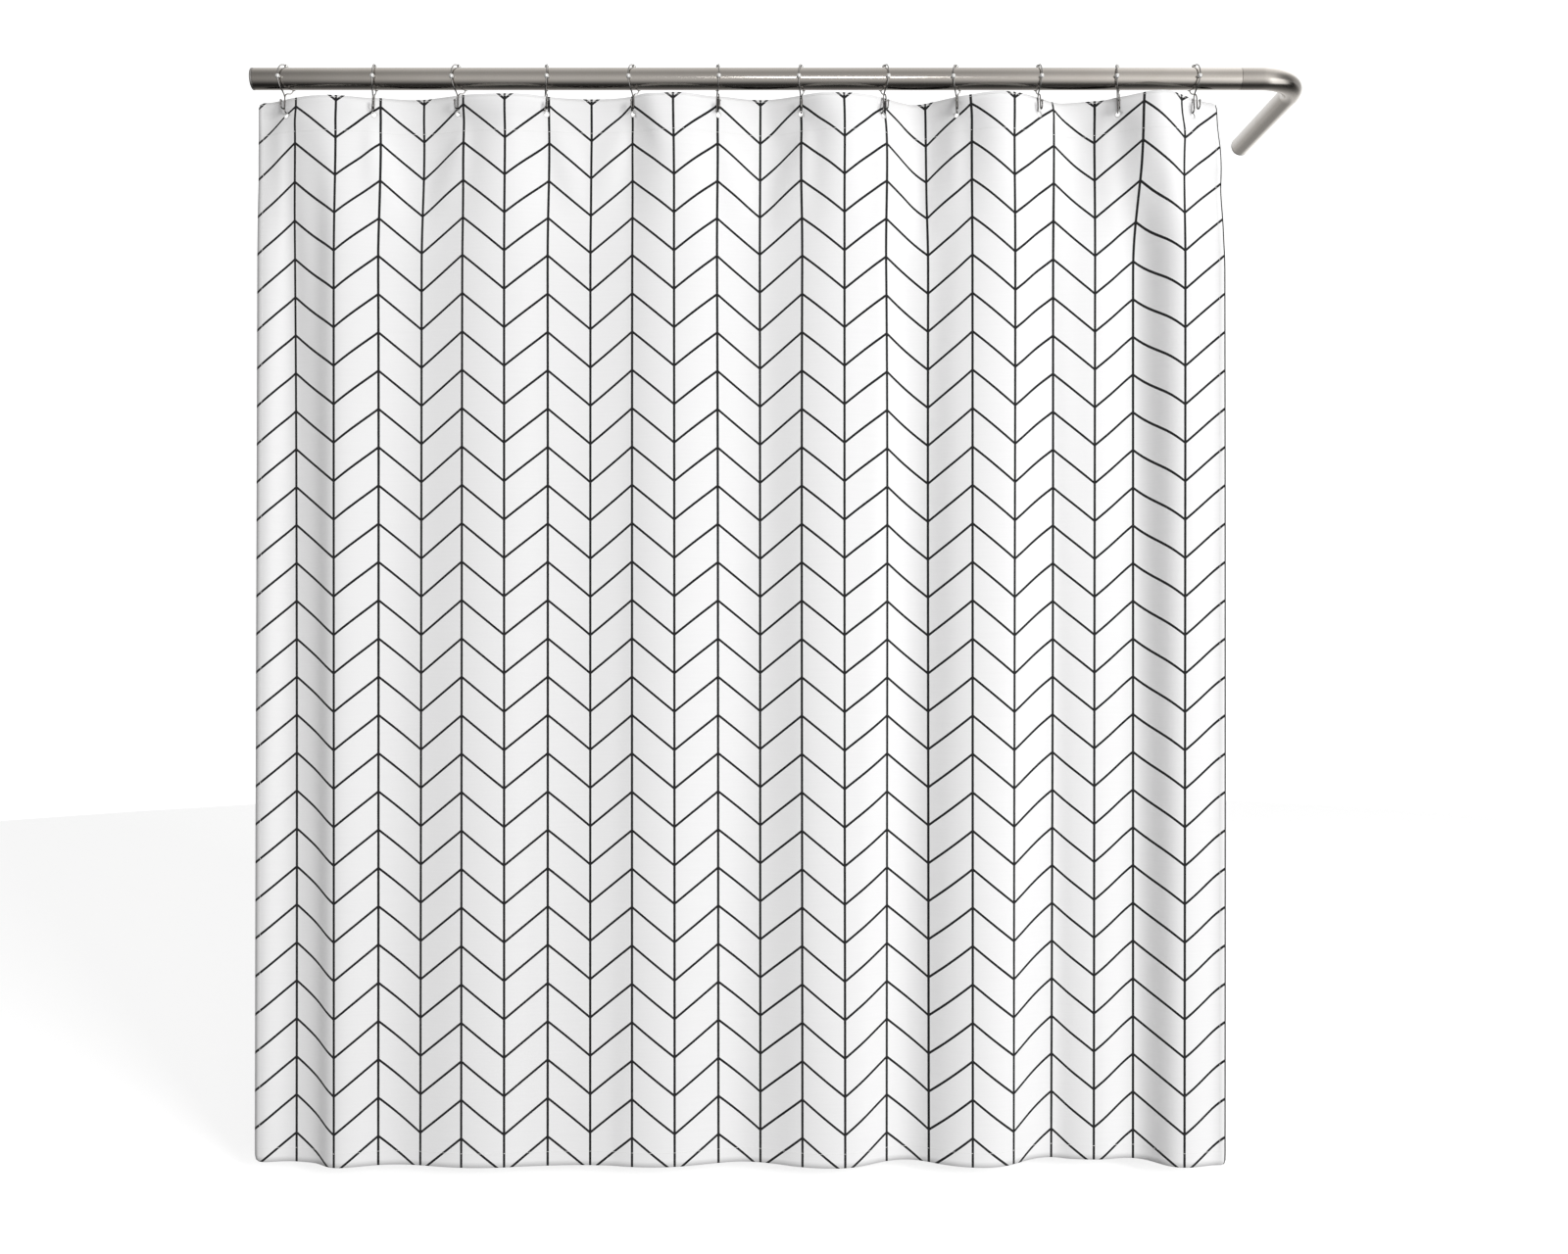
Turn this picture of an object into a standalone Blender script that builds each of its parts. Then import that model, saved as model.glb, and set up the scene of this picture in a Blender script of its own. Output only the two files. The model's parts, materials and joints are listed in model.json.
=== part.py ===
"""A stall shower curtain hung from an L-shaped rod by twelve double roller hooks.

The rod runs along +X from the side wall, bends to +Y and ends at the back wall.
+Y points into the stall and +Z is up.  The origin is the centre of the rod's
flat end against the side wall.  All sizes are in metres.
"""
import math

import bmesh
import bpy
from mathutils import Euler, Matrix, Vector

# ---- rod ------------------------------------------------------------------
ROD_DIAMETER = 0.037
ROD_WALL = 0.0010
BEND_RADIUS = 0.075          # of the rod's centreline
LEG_DEPTH = 0.350            # rod axis to the back wall
LEG_OFFSET = 0.139           # curtain's edge to the leg's centreline
JOINT_OFFSET = 0.028         # curtain's edge to the joint in the rod
FIRST_HOOK_X = 0.0575        # side wall to the first hook
SOCKET_PLATE = 0.004
SPIGOT_LENGTH = 0.022
SPIGOT_WALL = 0.003
SLEEVE_LENGTH = 0.060
ROD_SIDES = 28
BEND_STEPS = 10

# ---- screws -----------------------------------------------------------------
SCREW_DIAMETER = 0.0039
SCREW_HEAD_DIAMETER = 0.0070
SCREW_HEAD_HEIGHT = 0.0016
SCREW_TIP = 0.0006           # past the inner wall
SOCKET_SCREW_INSET = 0.009   # from the face of the socket's plate
WALL_HOLE_DIAMETER = 0.0045
WALL_HOLE_SPACING = 0.013

# ---- hooks ------------------------------------------------------------------
HOOK_COUNT = 12
WIRE_DIAMETER = 0.0024
ROLLER_DIAMETER = 0.0080
ROLLER_PLAY = 0.00045        # between wire and roller bore
RING_SLACK = 0.0015          # between the rollers and the rod, all round
CROSSING_DROP = 0.0023       # ring to where its two wires cross
CROSSING_GAP = 0.0006
STEM_BEND = 0.010            # height over which a stem turns into the ring
STEM_SPREAD = 0.0025         # stem to the hook's middle
CROOK_RADIUS = 0.0055        # centreline of the crook at a stem's foot
TIP_RISE = 0.0065            # crook to the middle of its ball
BALL_DIAMETER = 0.0042
BALL_TURN_DEG = 160          # from the ball's closed end to the wire
BALL_STEPS = 4
CROOK_STEPS = 6
BEND_PULLS = (0.7, 0.9)      # of STEM_BEND, at the stem and at the ring
BEND_POINTS = 4
BORE_STEPS = 3               # across a roller's outline
ROLLER_SIDES = 8
RING_STEPS = 15
ROLLER_STEPS = {"rear": 2, "top": 7, "front": 12}   # along the ring, from its rear foot
HOOK_YAW_DEG = (-14, 9, -17, 12, -15, 8, -9, 16, -18, 6, -13, 10)
HOOK_DRIFT = (0.000, 0.010, 0.013, 0.022, 0.030, 0.033, 0.034, 0.035, 0.017, 0.016, 0.010, 0.000)

# ---- curtain ----------------------------------------------------------------
CURTAIN_WIDTH = 1.830        # laid flat
CURTAIN_DROP = 1.830
CLOTH_THICKNESS = 0.0005
EYELET_MARGIN = 0.060        # side edge to the first eyelet, laid flat
EYELET_INSET = 0.0315        # top edge to an eyelet's middle
EYELET_DIAMETER = 0.008
HANG_GAP = 0.0010            # eyelet's edge to the wire it hangs on
TOP_GAP = 0.0004             # top edge below the lowest wire at the crossing
HUNG_SHARE = 0.912           # hook spacing over eyelet spacing
MARGIN_SHARE = (0.925, 0.873)
FOLD_STEPS = 8
TAPE_WIDTH = 0.062           # header tape, from just below the top edge
TAPE_INSET = 0.0015
TAPE_THICKNESS = 0.0004

# ---- fits -------------------------------------------------------------------
TOUCH_GAP = 0.0003           # between pieces that rest on each other
SCREW_PLAY = 0.0003

ROD_RADIUS = ROD_DIAMETER / 2
ROD_INNER = ROD_RADIUS - ROD_WALL
WIRE_RADIUS = WIRE_DIAMETER / 2
CORE_RADIUS = ROD_INNER - TOUCH_GAP          # of the spigots and the sleeve
CORE_INNER = CORE_RADIUS - SPIGOT_WALL

EYELET_PITCH = (CURTAIN_WIDTH - 2 * EYELET_MARGIN) / (HOOK_COUNT - 1)
HOOK_SPACING = EYELET_PITCH * HUNG_SHARE

RING_RADIUS = ROD_RADIUS + ROLLER_DIAMETER / 2 + RING_SLACK
CROSSING_ANGLE = math.acos(RING_RADIUS / (RING_RADIUS + CROSSING_DROP))
RING_STEP_ANGLE = (2 * math.pi - 2 * CROSSING_ANGLE) / RING_STEPS
ROLLER_ORBIT = RING_RADIUS * math.cos(RING_STEP_ANGLE / 2)
RING_Z = ROD_RADIUS + ROLLER_DIAMETER / 2 + TOUCH_GAP - ROLLER_ORBIT
CROSSING_Z = RING_Z - RING_RADIUS - CROSSING_DROP
RING_FOOT_Y = RING_RADIUS * math.sin(CROSSING_ANGLE)
RING_FOOT_Z = RING_Z - RING_RADIUS * math.cos(CROSSING_ANGLE)
WIRE_OFFSET = (WIRE_DIAMETER + CROSSING_GAP) / 2

CURTAIN_TOP = CROSSING_Z - WIRE_RADIUS - TOP_GAP
CURTAIN_BOTTOM = CURTAIN_TOP - CURTAIN_DROP
EYELET_Z = CURTAIN_TOP - EYELET_INSET
CROOK_Y = STEM_SPREAD + CROOK_RADIUS
CROOK_DROP = -(EYELET_Z + EYELET_DIAMETER / 2 - HANG_GAP - WIRE_RADIUS)
CROOK_Z = -math.sqrt(CROOK_DROP ** 2 - CROOK_Y ** 2)
HOOK_LEAN = -math.atan2(CROOK_Y, -CROOK_Z)   # brings the loaded rear crook under the rod


# ---- shared helpers -----------------------------------------------------------
def make_material(name, color, roughness, metallic):
    material = bpy.data.materials.new(name)
    material.use_nodes = True
    shader = material.node_tree.nodes["Principled BSDF"]
    shader.inputs["Base Color"].default_value = (*color, 1.0)
    shader.inputs["Roughness"].default_value = roughness
    shader.inputs["Metallic"].default_value = metallic
    return material


def add_object(name, data, material=None):
    obj = bpy.data.objects.new(name, data)
    bpy.context.scene.collection.objects.link(obj)
    if material is not None and not data.materials:
        data.materials.append(material)
    return obj


def finish_mesh(name, bm, smooth=True):
    bmesh.ops.remove_doubles(bm, verts=bm.verts, dist=1e-6)
    bmesh.ops.recalc_face_normals(bm, faces=bm.faces)
    mesh = bpy.data.meshes.new(name)
    bm.to_mesh(mesh)
    bm.free()
    if smooth:
        mesh.shade_smooth()
        mesh.set_sharp_from_angle(angle=math.radians(40))
    return mesh


def turned_mesh(name, outline, sides, ring=False):
    """Turn an outline of (radius, height) points about Z; a ring's outline is closed."""
    bm = bmesh.new()
    verts = [bm.verts.new((radius, 0, height)) for radius, height in outline]
    ends = verts[1:] + verts[:1] if ring else verts[1:]
    edges = [bm.edges.new(pair) for pair in zip(verts, ends)]
    bmesh.ops.spin(
        bm, geom=verts + edges, cent=(0, 0, 0), axis=(0, 0, 1),
        angle=2 * math.pi, steps=sides, use_merge=True)
    return finish_mesh(name, bm)


def ring_outline(inner, outer, bottom, top):
    return [(outer, top), (outer, bottom), (inner, bottom), (inner, top)]


def cut(obj, cutter_name, diameter, length, center, direction):
    """Cut a straight round hole through an object."""
    radius = diameter / 2
    outline = [(0, length / 2), (radius, length / 2), (radius, -length / 2), (0, -length / 2)]
    cutter = add_object(cutter_name, turned_mesh(cutter_name, outline, 12))
    cutter.location = center
    cutter.rotation_euler = Vector(direction).to_track_quat("Z", "Y").to_euler()
    cutter.hide_render = True
    cutter.display_type = "WIRE"
    modifier = obj.modifiers.new(cutter_name, "BOOLEAN")
    modifier.operation = "DIFFERENCE"
    modifier.solver = "EXACT"
    modifier.object = cutter


# ---- hook layout ----------------------------------------------------------------
def hook_x(index):
    return FIRST_HOOK_X + index * HOOK_SPACING + HOOK_DRIFT[index]


def hook_matrix(index):
    """A hook's place: turned on itself, leaned about the rod and slid along it."""
    yaw = Matrix.Rotation(math.radians(HOOK_YAW_DEG[index]), 4, "Z")
    lean = Matrix.Rotation(HOOK_LEAN, 4, "X")
    return Matrix.Translation((hook_x(index), 0, 0)) @ lean @ yaw


def eyelet_point(index):
    """Where the rear crook of a hook carries the cloth, seen from above."""
    return (hook_matrix(index) @ Vector((-WIRE_OFFSET, CROOK_Y, CROOK_Z))).to_2d()


# ---- cloth outline, seen from above ----------------------------------------------
def fold_points(start, end, depth, steps, quarter=None):
    """Points along one fold: half a wave, or a quarter of one at a free edge."""
    along = end - start
    across = Vector((-along.y, along.x)).normalized()
    points = []
    for step in range(steps + 1):
        share = step / steps
        if quarter == "first":
            height = math.cos(share * math.pi / 2)
        elif quarter == "last":
            height = math.sin(share * math.pi / 2)
        else:
            height = math.sin(share * math.pi)
        points.append(start + along * share + across * (height * depth))
    return points


def outline_length(points):
    return sum((b - a).length for a, b in zip(points, points[1:]))


def fold_of_length(start, end, length, side, steps, quarter=None):
    """The fold whose cloth is just as long as the cloth between two eyelets."""
    low, high = 0.0, length
    for _ in range(40):
        depth = (low + high) / 2
        if outline_length(fold_points(start, end, depth * side, steps, quarter)) < length:
            low = depth
        else:
            high = depth
    return fold_points(start, end, low * side, steps, quarter)


def curtain_outline():
    eyelets = [eyelet_point(index) for index in range(HOOK_COUNT)]
    left_end = eyelets[0] - Vector((EYELET_MARGIN * MARGIN_SHARE[0], 0))
    right_end = eyelets[-1] + Vector((EYELET_MARGIN * MARGIN_SHARE[1], 0))
    edge_steps = FOLD_STEPS // 2
    points = fold_of_length(left_end, eyelets[0], EYELET_MARGIN, 1, edge_steps, "first")
    for index in range(HOOK_COUNT - 1):
        side = -1 if index % 2 == 0 else 1
        fold = fold_of_length(eyelets[index], eyelets[index + 1], EYELET_PITCH, side, FOLD_STEPS)
        points += fold[1:]
    points += fold_of_length(eyelets[-1], right_end, EYELET_MARGIN, 1, edge_steps, "last")[1:]
    return points


def shifted_outline(points, distance):
    """The same outline moved square to itself, towards +Y."""
    shifted = []
    for index, point in enumerate(points):
        before = points[max(index - 1, 0)]
        after = points[min(index + 1, len(points) - 1)]
        along = (after - before).normalized()
        shifted.append(point + Vector((-along.y, along.x)) * distance)
    return shifted


# ---- rod --------------------------------------------------------------------------
def build_straight_tube(material, joint_x):
    start = SOCKET_PLATE + TOUCH_GAP
    outline = ring_outline(ROD_INNER, ROD_RADIUS, start, joint_x)
    tube = add_object("rod_main_tube", turned_mesh("rod_main_tube", outline, ROD_SIDES, True), material)
    tube.rotation_euler = Euler((0, math.pi / 2, 0))
    return tube


def extrude_end(bm, faces, move, keep=False):
    """Extrude a tube's end by a transform and give back the new end's faces."""
    result = bmesh.ops.extrude_face_region(bm, geom=faces, use_keep_orig=True)
    verts = [item for item in result["geom"] if isinstance(item, bmesh.types.BMVert)]
    bmesh.ops.transform(bm, matrix=move, verts=verts)
    if not keep:
        bmesh.ops.delete(bm, geom=faces, context="FACES_ONLY")
    return [item for item in result["geom"] if isinstance(item, bmesh.types.BMFace)]


def build_corner_tube(material, joint_x, leg_x):
    start_x = joint_x + TOUCH_GAP
    bend_x = leg_x - BEND_RADIUS
    leg_length = LEG_DEPTH - SOCKET_PLATE - TOUCH_GAP - BEND_RADIUS
    bm = bmesh.new()
    for radius in (ROD_INNER, ROD_RADIUS):
        bmesh.ops.create_circle(bm, cap_ends=False, radius=radius, segments=ROD_SIDES)
    bmesh.ops.bridge_loops(bm, edges=bm.edges)
    upright = Matrix.Translation((start_x, 0, 0)) @ Matrix.Rotation(math.pi / 2, 4, "Y")
    bmesh.ops.transform(bm, matrix=upright, verts=bm.verts)
    end = extrude_end(bm, bm.faces[:], Matrix.Translation((bend_x - start_x, 0, 0)), keep=True)
    pivot = Matrix.Translation((bend_x, BEND_RADIUS, 0))
    turn = pivot @ Matrix.Rotation(math.pi / 2 / BEND_STEPS, 4, "Z") @ pivot.inverted()
    for _ in range(BEND_STEPS):
        end = extrude_end(bm, end, turn)
    extrude_end(bm, end, Matrix.Translation((0, leg_length, 0)))
    return add_object("rod_corner_tube", finish_mesh("rod_corner_tube", bm), material)


def build_socket(name, material, location, rotation):
    spigot_end = SOCKET_PLATE + SPIGOT_LENGTH
    outline = [
        (0, SOCKET_PLATE), (CORE_INNER, SOCKET_PLATE), (CORE_INNER, spigot_end),
        (CORE_RADIUS, spigot_end), (CORE_RADIUS, SOCKET_PLATE), (ROD_RADIUS, SOCKET_PLATE),
        (ROD_RADIUS, 0), (0, 0)]
    socket = add_object(name, turned_mesh(name, outline, ROD_SIDES), material)
    socket.location = location
    socket.rotation_euler = rotation
    spacing = Vector((0, 0, WALL_HOLE_SPACING / 2))
    along = rotation.to_matrix() @ Vector((0, 0, 1))
    middle = Vector(location) + along * (SOCKET_PLATE / 2)
    for label, center in (("upper", middle + spacing), ("lower", middle - spacing)):
        cut(socket, f"{name}_{label}_hole", WALL_HOLE_DIAMETER, SOCKET_PLATE * 2, center, along)
    return socket


def build_sleeve(material, joint_x):
    half = SLEEVE_LENGTH / 2
    outline = ring_outline(CORE_INNER, CORE_RADIUS, joint_x - half, joint_x + half)
    mesh = turned_mesh("rod_joining_sleeve", outline, ROD_SIDES, True)
    sleeve = add_object("rod_joining_sleeve", mesh, material)
    sleeve.rotation_euler = Euler((0, math.pi / 2, 0))
    return sleeve


def build_screw(name, material, on_axis, direction, pieces):
    """A screw from outside, through the rod's wall and into the piece inside it."""
    seat = ROD_RADIUS + TOUCH_GAP
    head = SCREW_HEAD_DIAMETER / 2
    shank = SCREW_DIAMETER / 2
    tip = CORE_INNER - SCREW_TIP
    outline = [
        (0, seat + SCREW_HEAD_HEIGHT), (head * 0.6, seat + SCREW_HEAD_HEIGHT * 0.85),
        (head, seat + SCREW_HEAD_HEIGHT * 0.3), (head, seat), (shank, seat), (shank, tip), (0, tip)]
    screw = add_object(name, turned_mesh(name, outline, 12), material)
    screw.location = on_axis
    screw.rotation_euler = Vector(direction).to_track_quat("Z", "Y").to_euler()
    hole = SCREW_DIAMETER + 2 * SCREW_PLAY
    middle = Vector(on_axis) + Vector(direction) * (seat + tip) / 2
    for piece in pieces:
        cut(piece, f"{name}_{piece.name}_hole", hole, 2 * (seat - tip), middle, direction)
    return screw


def build_rod(joint_x, leg_x):
    nickel = make_material("brushed_nickel", (0.56, 0.53, 0.50), 0.32, 1.0)
    zinc = make_material("cast_zinc", (0.50, 0.50, 0.50), 0.45, 1.0)
    steel = make_material("screw_steel", (0.60, 0.60, 0.62), 0.30, 1.0)
    main = build_straight_tube(nickel, joint_x)
    corner = build_corner_tube(nickel, joint_x, leg_x)
    sleeve = build_sleeve(zinc, joint_x)
    side = build_socket("side_wall_socket", zinc, (0, 0, 0), Euler((0, math.pi / 2, 0)))
    back = build_socket("back_wall_socket", zinc, (leg_x, LEG_DEPTH, 0), Euler((math.pi / 2, 0, 0)))
    quarter = SLEEVE_LENGTH / 4
    socket_screw = SOCKET_PLATE + SOCKET_SCREW_INSET
    rear, up = Vector((0, 1, 0)), Vector((0, 0, 1))
    build_screw("side_socket_screw", steel, (socket_screw, 0, 0), rear, (main, side))
    build_screw("sleeve_screw_left", steel, (joint_x - quarter, 0, 0), rear, (main, sleeve))
    build_screw("sleeve_screw_right", steel, (joint_x + quarter, 0, 0), rear, (corner, sleeve))
    build_screw("back_socket_screw", steel, (leg_x, LEG_DEPTH - socket_screw, 0), up, (corner, back))


# ---- hooks ------------------------------------------------------------------------
def bend_points(start, start_pull, end, end_pull, steps):
    """A smooth bend in the hook's own plane, without its first point."""
    points = []
    for step in range(1, steps + 1):
        t = step / steps
        point = (start * (1 - t) ** 3 + start_pull * 3 * t * (1 - t) ** 2
                 + end_pull * 3 * t ** 2 * (1 - t) + end * t ** 3)
        points.append(point)
    return points


def half_hook_points():
    """(y, z, radius) along the wire, from the front ball to the foot of the ring."""
    ball = BALL_DIAMETER / 2
    tip_y = -(CROOK_Y + CROOK_RADIUS)
    crook_middle = CROOK_Z + CROOK_RADIUS
    ball_z = crook_middle + TIP_RISE
    first_turn = math.asin(WIRE_RADIUS / ball)
    last_turn = math.radians(BALL_TURN_DEG)
    points = []
    for turn in range(BALL_STEPS, -1, -1):
        angle = first_turn + (last_turn - first_turn) * turn / BALL_STEPS
        points.append((tip_y, ball_z - ball * math.cos(angle), ball * math.sin(angle)))
    for step in range(CROOK_STEPS + 1):
        angle = math.pi + math.pi * step / CROOK_STEPS
        y = -CROOK_Y + CROOK_RADIUS * math.cos(angle)
        z = crook_middle + CROOK_RADIUS * math.sin(angle)
        points.append((y, z, WIRE_RADIUS))
    stem_top = Vector((-STEM_SPREAD, CROSSING_Z - STEM_BEND))
    foot = Vector((RING_FOOT_Y, RING_FOOT_Z))
    rise = Vector((math.cos(CROSSING_ANGLE), math.sin(CROSSING_ANGLE)))
    points.append((stem_top.x, stem_top.y, WIRE_RADIUS))
    stem_pull = stem_top + Vector((0, BEND_PULLS[0] * STEM_BEND))
    foot_pull = foot - rise * (BEND_PULLS[1] * STEM_BEND)
    for point in bend_points(stem_top, stem_pull, foot, foot_pull, BEND_POINTS):
        points.append((point.x, point.y, WIRE_RADIUS))
    return points


def hook_points():
    """(x, y, z, radius) along one hook's wire, and the two ends of each ring step."""
    half = half_hook_points()
    front = [(WIRE_OFFSET, y, z, radius) for y, z, radius in half]
    rear = [(-WIRE_OFFSET, -y, z, radius) for y, z, radius in reversed(half)]
    ring = []
    for step in range(RING_STEPS + 1):
        angle = -math.pi / 2 + CROSSING_ANGLE + step * RING_STEP_ANGLE
        x = WIRE_OFFSET * (1 - 2 * step / RING_STEPS)
        y = RING_RADIUS * math.cos(angle)
        ring.append(Vector((x, y, RING_Z + RING_RADIUS * math.sin(angle))))
    middle = [(*point, WIRE_RADIUS) for point in ring[1:-1]]
    return front + middle + rear, ring


def build_wire(name, points, material):
    curve = bpy.data.curves.new(name, "CURVE")
    curve.dimensions = "3D"
    curve.bevel_depth = 1.0
    curve.bevel_resolution = 1
    curve.resolution_u = 1
    curve.render_resolution_u = 0
    curve.use_fill_caps = True
    spline = curve.splines.new("POLY")
    spline.points.add(len(points) - 1)
    for target, (x, y, z, radius) in zip(spline.points, points):
        target.co = (x, y, z, 1)
        target.radius = radius
    return add_object(name, curve, material)


def roller_mesh(material):
    """A ball with a hole along Z, wide enough to turn on the wire."""
    radius = ROLLER_DIAMETER / 2
    bore = WIRE_RADIUS + ROLLER_PLAY
    rim = math.acos(bore / radius)
    outline = []
    for step in range(BORE_STEPS + 1):
        angle = rim - 2 * rim * step / BORE_STEPS
        outline.append((radius * math.cos(angle), radius * math.sin(angle)))
    mesh = turned_mesh("roller", outline, ROLLER_SIDES, True)
    mesh.materials.append(material)
    return mesh


def build_hooks():
    chrome = make_material("hook_chrome", (0.72, 0.71, 0.69), 0.12, 1.0)
    polished = make_material("roller_chrome", (0.86, 0.86, 0.85), 0.07, 1.0)
    points, ring = hook_points()
    roller = roller_mesh(polished)
    for index in range(HOOK_COUNT):
        number = f"{index + 1:02d}"
        pivot = bpy.data.objects.new(f"hook_{number}_pivot", None)
        bpy.context.scene.collection.objects.link(pivot)
        pivot.matrix_world = hook_matrix(index)
        wire = build_wire(f"hook_{number}", points, chrome)
        wire.parent = pivot
        for place, step in ROLLER_STEPS.items():
            ball = add_object(f"roller_{number}_{place}", roller)
            ball.parent = pivot
            ball.location = (ring[step] + ring[step + 1]) / 2
            along = ring[step + 1] - ring[step]
            ball.rotation_euler = along.to_track_quat("Z", "X").to_euler()


# ---- curtain ------------------------------------------------------------------------
def build_cloth(name, outline, top, bottom, thickness, material):
    bm = bmesh.new()
    verts = [bm.verts.new((point.x, point.y, top)) for point in outline]
    edges = [bm.edges.new(pair) for pair in zip(verts, verts[1:])]
    result = bmesh.ops.extrude_edge_only(bm, edges=edges)
    lower = [item for item in result["geom"] if isinstance(item, bmesh.types.BMVert)]
    bmesh.ops.translate(bm, verts=lower, vec=(0, 0, bottom - top))
    cloth = add_object(name, finish_mesh(name, bm), material)
    solidify = cloth.modifiers.new("thickness", "SOLIDIFY")
    solidify.thickness = thickness
    solidify.offset = 0
    for index in range(HOOK_COUNT):
        center = (*eyelet_point(index), EYELET_Z)
        direction = hook_matrix(index).to_3x3() @ Vector((0, 1, 0))
        direction.z = 0
        length = 2 * EYELET_DIAMETER
        cut(cloth, f"{name}_eyelet_{index + 1:02d}", EYELET_DIAMETER, length, center, direction)
    return cloth


def build_curtain(outline):
    cloth = make_material("printed_cloth", (0.90, 0.90, 0.89), 0.85, 0.0)
    tape = make_material("header_tape_cloth", (0.86, 0.86, 0.84), 0.90, 0.0)
    build_cloth("curtain_panel", outline, CURTAIN_TOP, CURTAIN_BOTTOM, CLOTH_THICKNESS, cloth)
    offset = (CLOTH_THICKNESS + TAPE_THICKNESS) / 2 + TOUCH_GAP
    tape_top = CURTAIN_TOP - TAPE_INSET
    behind = shifted_outline(outline, offset)
    build_cloth("header_tape", behind, tape_top, tape_top - TAPE_WIDTH, TAPE_THICKNESS, tape)


def main():
    for obj in list(bpy.data.objects):
        bpy.data.objects.remove(obj, do_unlink=True)
    outline = curtain_outline()
    joint_x = outline[-1].x + JOINT_OFFSET
    leg_x = outline[-1].x + LEG_OFFSET
    build_rod(joint_x, leg_x)
    build_hooks()
    build_curtain(outline)


main()
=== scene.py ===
"""A printed stall shower curtain on its L-shaped rod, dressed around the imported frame.

Every size is in metres.  +X runs along the rod from the side wall, +Y points into
the stall and +Z is up.
"""
import json
import logging
import math
from dataclasses import dataclass, field
from enum import Enum

import bmesh
import bpy
import numpy as np
from mathutils import Matrix, Vector


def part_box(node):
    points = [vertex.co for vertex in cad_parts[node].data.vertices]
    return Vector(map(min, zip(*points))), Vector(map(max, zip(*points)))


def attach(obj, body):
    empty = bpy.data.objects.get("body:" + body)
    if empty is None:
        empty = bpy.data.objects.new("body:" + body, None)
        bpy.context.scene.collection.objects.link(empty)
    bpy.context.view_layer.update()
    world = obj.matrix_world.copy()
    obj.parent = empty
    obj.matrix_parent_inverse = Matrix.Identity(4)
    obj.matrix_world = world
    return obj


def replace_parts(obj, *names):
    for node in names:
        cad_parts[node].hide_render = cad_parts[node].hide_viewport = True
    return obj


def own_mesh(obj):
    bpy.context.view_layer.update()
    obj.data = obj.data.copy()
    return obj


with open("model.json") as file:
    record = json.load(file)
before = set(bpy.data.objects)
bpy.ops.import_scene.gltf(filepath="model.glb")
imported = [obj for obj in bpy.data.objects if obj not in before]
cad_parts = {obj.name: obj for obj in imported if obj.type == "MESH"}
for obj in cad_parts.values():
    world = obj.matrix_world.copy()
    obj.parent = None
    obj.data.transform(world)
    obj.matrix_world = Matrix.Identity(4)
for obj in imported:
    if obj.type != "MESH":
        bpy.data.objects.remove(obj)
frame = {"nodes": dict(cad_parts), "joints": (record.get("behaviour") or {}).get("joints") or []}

log = logging.getLogger("shower_curtain")
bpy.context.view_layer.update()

HOOK_COUNT = 12
CLOTH_WIDTH = CLOTH_DROP = 1.830     # laid flat
EYELET_INSET = 0.0315        # the cloth's top edge to an eyelet's middle
EYELET_RADIUS = 0.0040
TOUCH_GAP = 0.0003           # between pieces that fit into each other
WELD_DISTANCE = 1e-6
BUMP_DISTANCE = 0.0002


class ClothSide(Enum):
    """Which face of the cloth a material is for."""

    FRONT = "front"
    BACK = "back"


# ---- meshes --------------------------------------------------------------------
def linked(name: str, data: bpy.types.ID) -> bpy.types.Object:
    """Make an object for a mesh, lamp or camera and link it to the scene."""
    obj = bpy.data.objects.new(name, data)
    bpy.context.scene.collection.objects.link(obj)
    return obj


def smooth_mesh(name: str, bm: bmesh.types.BMesh,
                *materials: bpy.types.Material) -> bpy.types.Mesh:
    """Turn a finished bmesh, which is freed, into a smooth mesh."""
    mesh = bpy.data.meshes.new(name)
    bm.to_mesh(mesh)
    bm.free()
    mesh.shade_smooth()
    for material in materials:
        mesh.materials.append(material)
    return mesh


def mesh_of(piece: bpy.types.Object) -> bpy.types.Mesh:
    """Keep a piece's mesh and delete the piece."""
    mesh = piece.data
    bpy.data.objects.remove(piece)
    return mesh


def new_piece(name: str, bm: bmesh.types.BMesh, material: bpy.types.Material,
              smooth_angle: float = 40.0) -> bpy.types.Object:
    """Turn a finished bmesh into a linked object.

    Args:
        name: Name of the piece.
        bm: The finished mesh, which is freed.
        material: The piece's material.
        smooth_angle: Edges sharper than this many degrees stay sharp.

    Returns:
        The new object, at the origin.
    """
    bmesh.ops.remove_doubles(bm, verts=bm.verts, dist=WELD_DISTANCE)
    bmesh.ops.recalc_face_normals(bm, faces=bm.faces)
    mesh = smooth_mesh(name, bm, material)
    mesh.set_sharp_from_angle(angle=math.radians(smooth_angle))
    return linked(name, mesh)


def spin_profile(outline: list[tuple[float, float]], sides: int,
                 place: Matrix, ring: bool = False) -> bmesh.types.BMesh:
    """Turn an outline about Z and put it in place.

    Args:
        outline: (radius, height) points.
        sides: Number of steps in the full turn.
        place: Where the turned shape goes.
        ring: True if the outline is closed.

    Returns:
        A bmesh with the turned shape.
    """
    bm = bmesh.new()
    verts = [bm.verts.new((radius, 0, height)) for radius, height in outline]
    ends = verts[1:] + verts[:1] if ring else verts[1:]
    edges = [bm.edges.new(pair) for pair in zip(verts, ends)]
    bmesh.ops.spin(bm, geom=verts + edges, cent=(0, 0, 0), axis=(0, 0, 1),
                   angle=2 * math.pi, steps=sides, use_merge=True)
    bmesh.ops.transform(bm, matrix=place, verts=bm.verts)
    return bm


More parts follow.
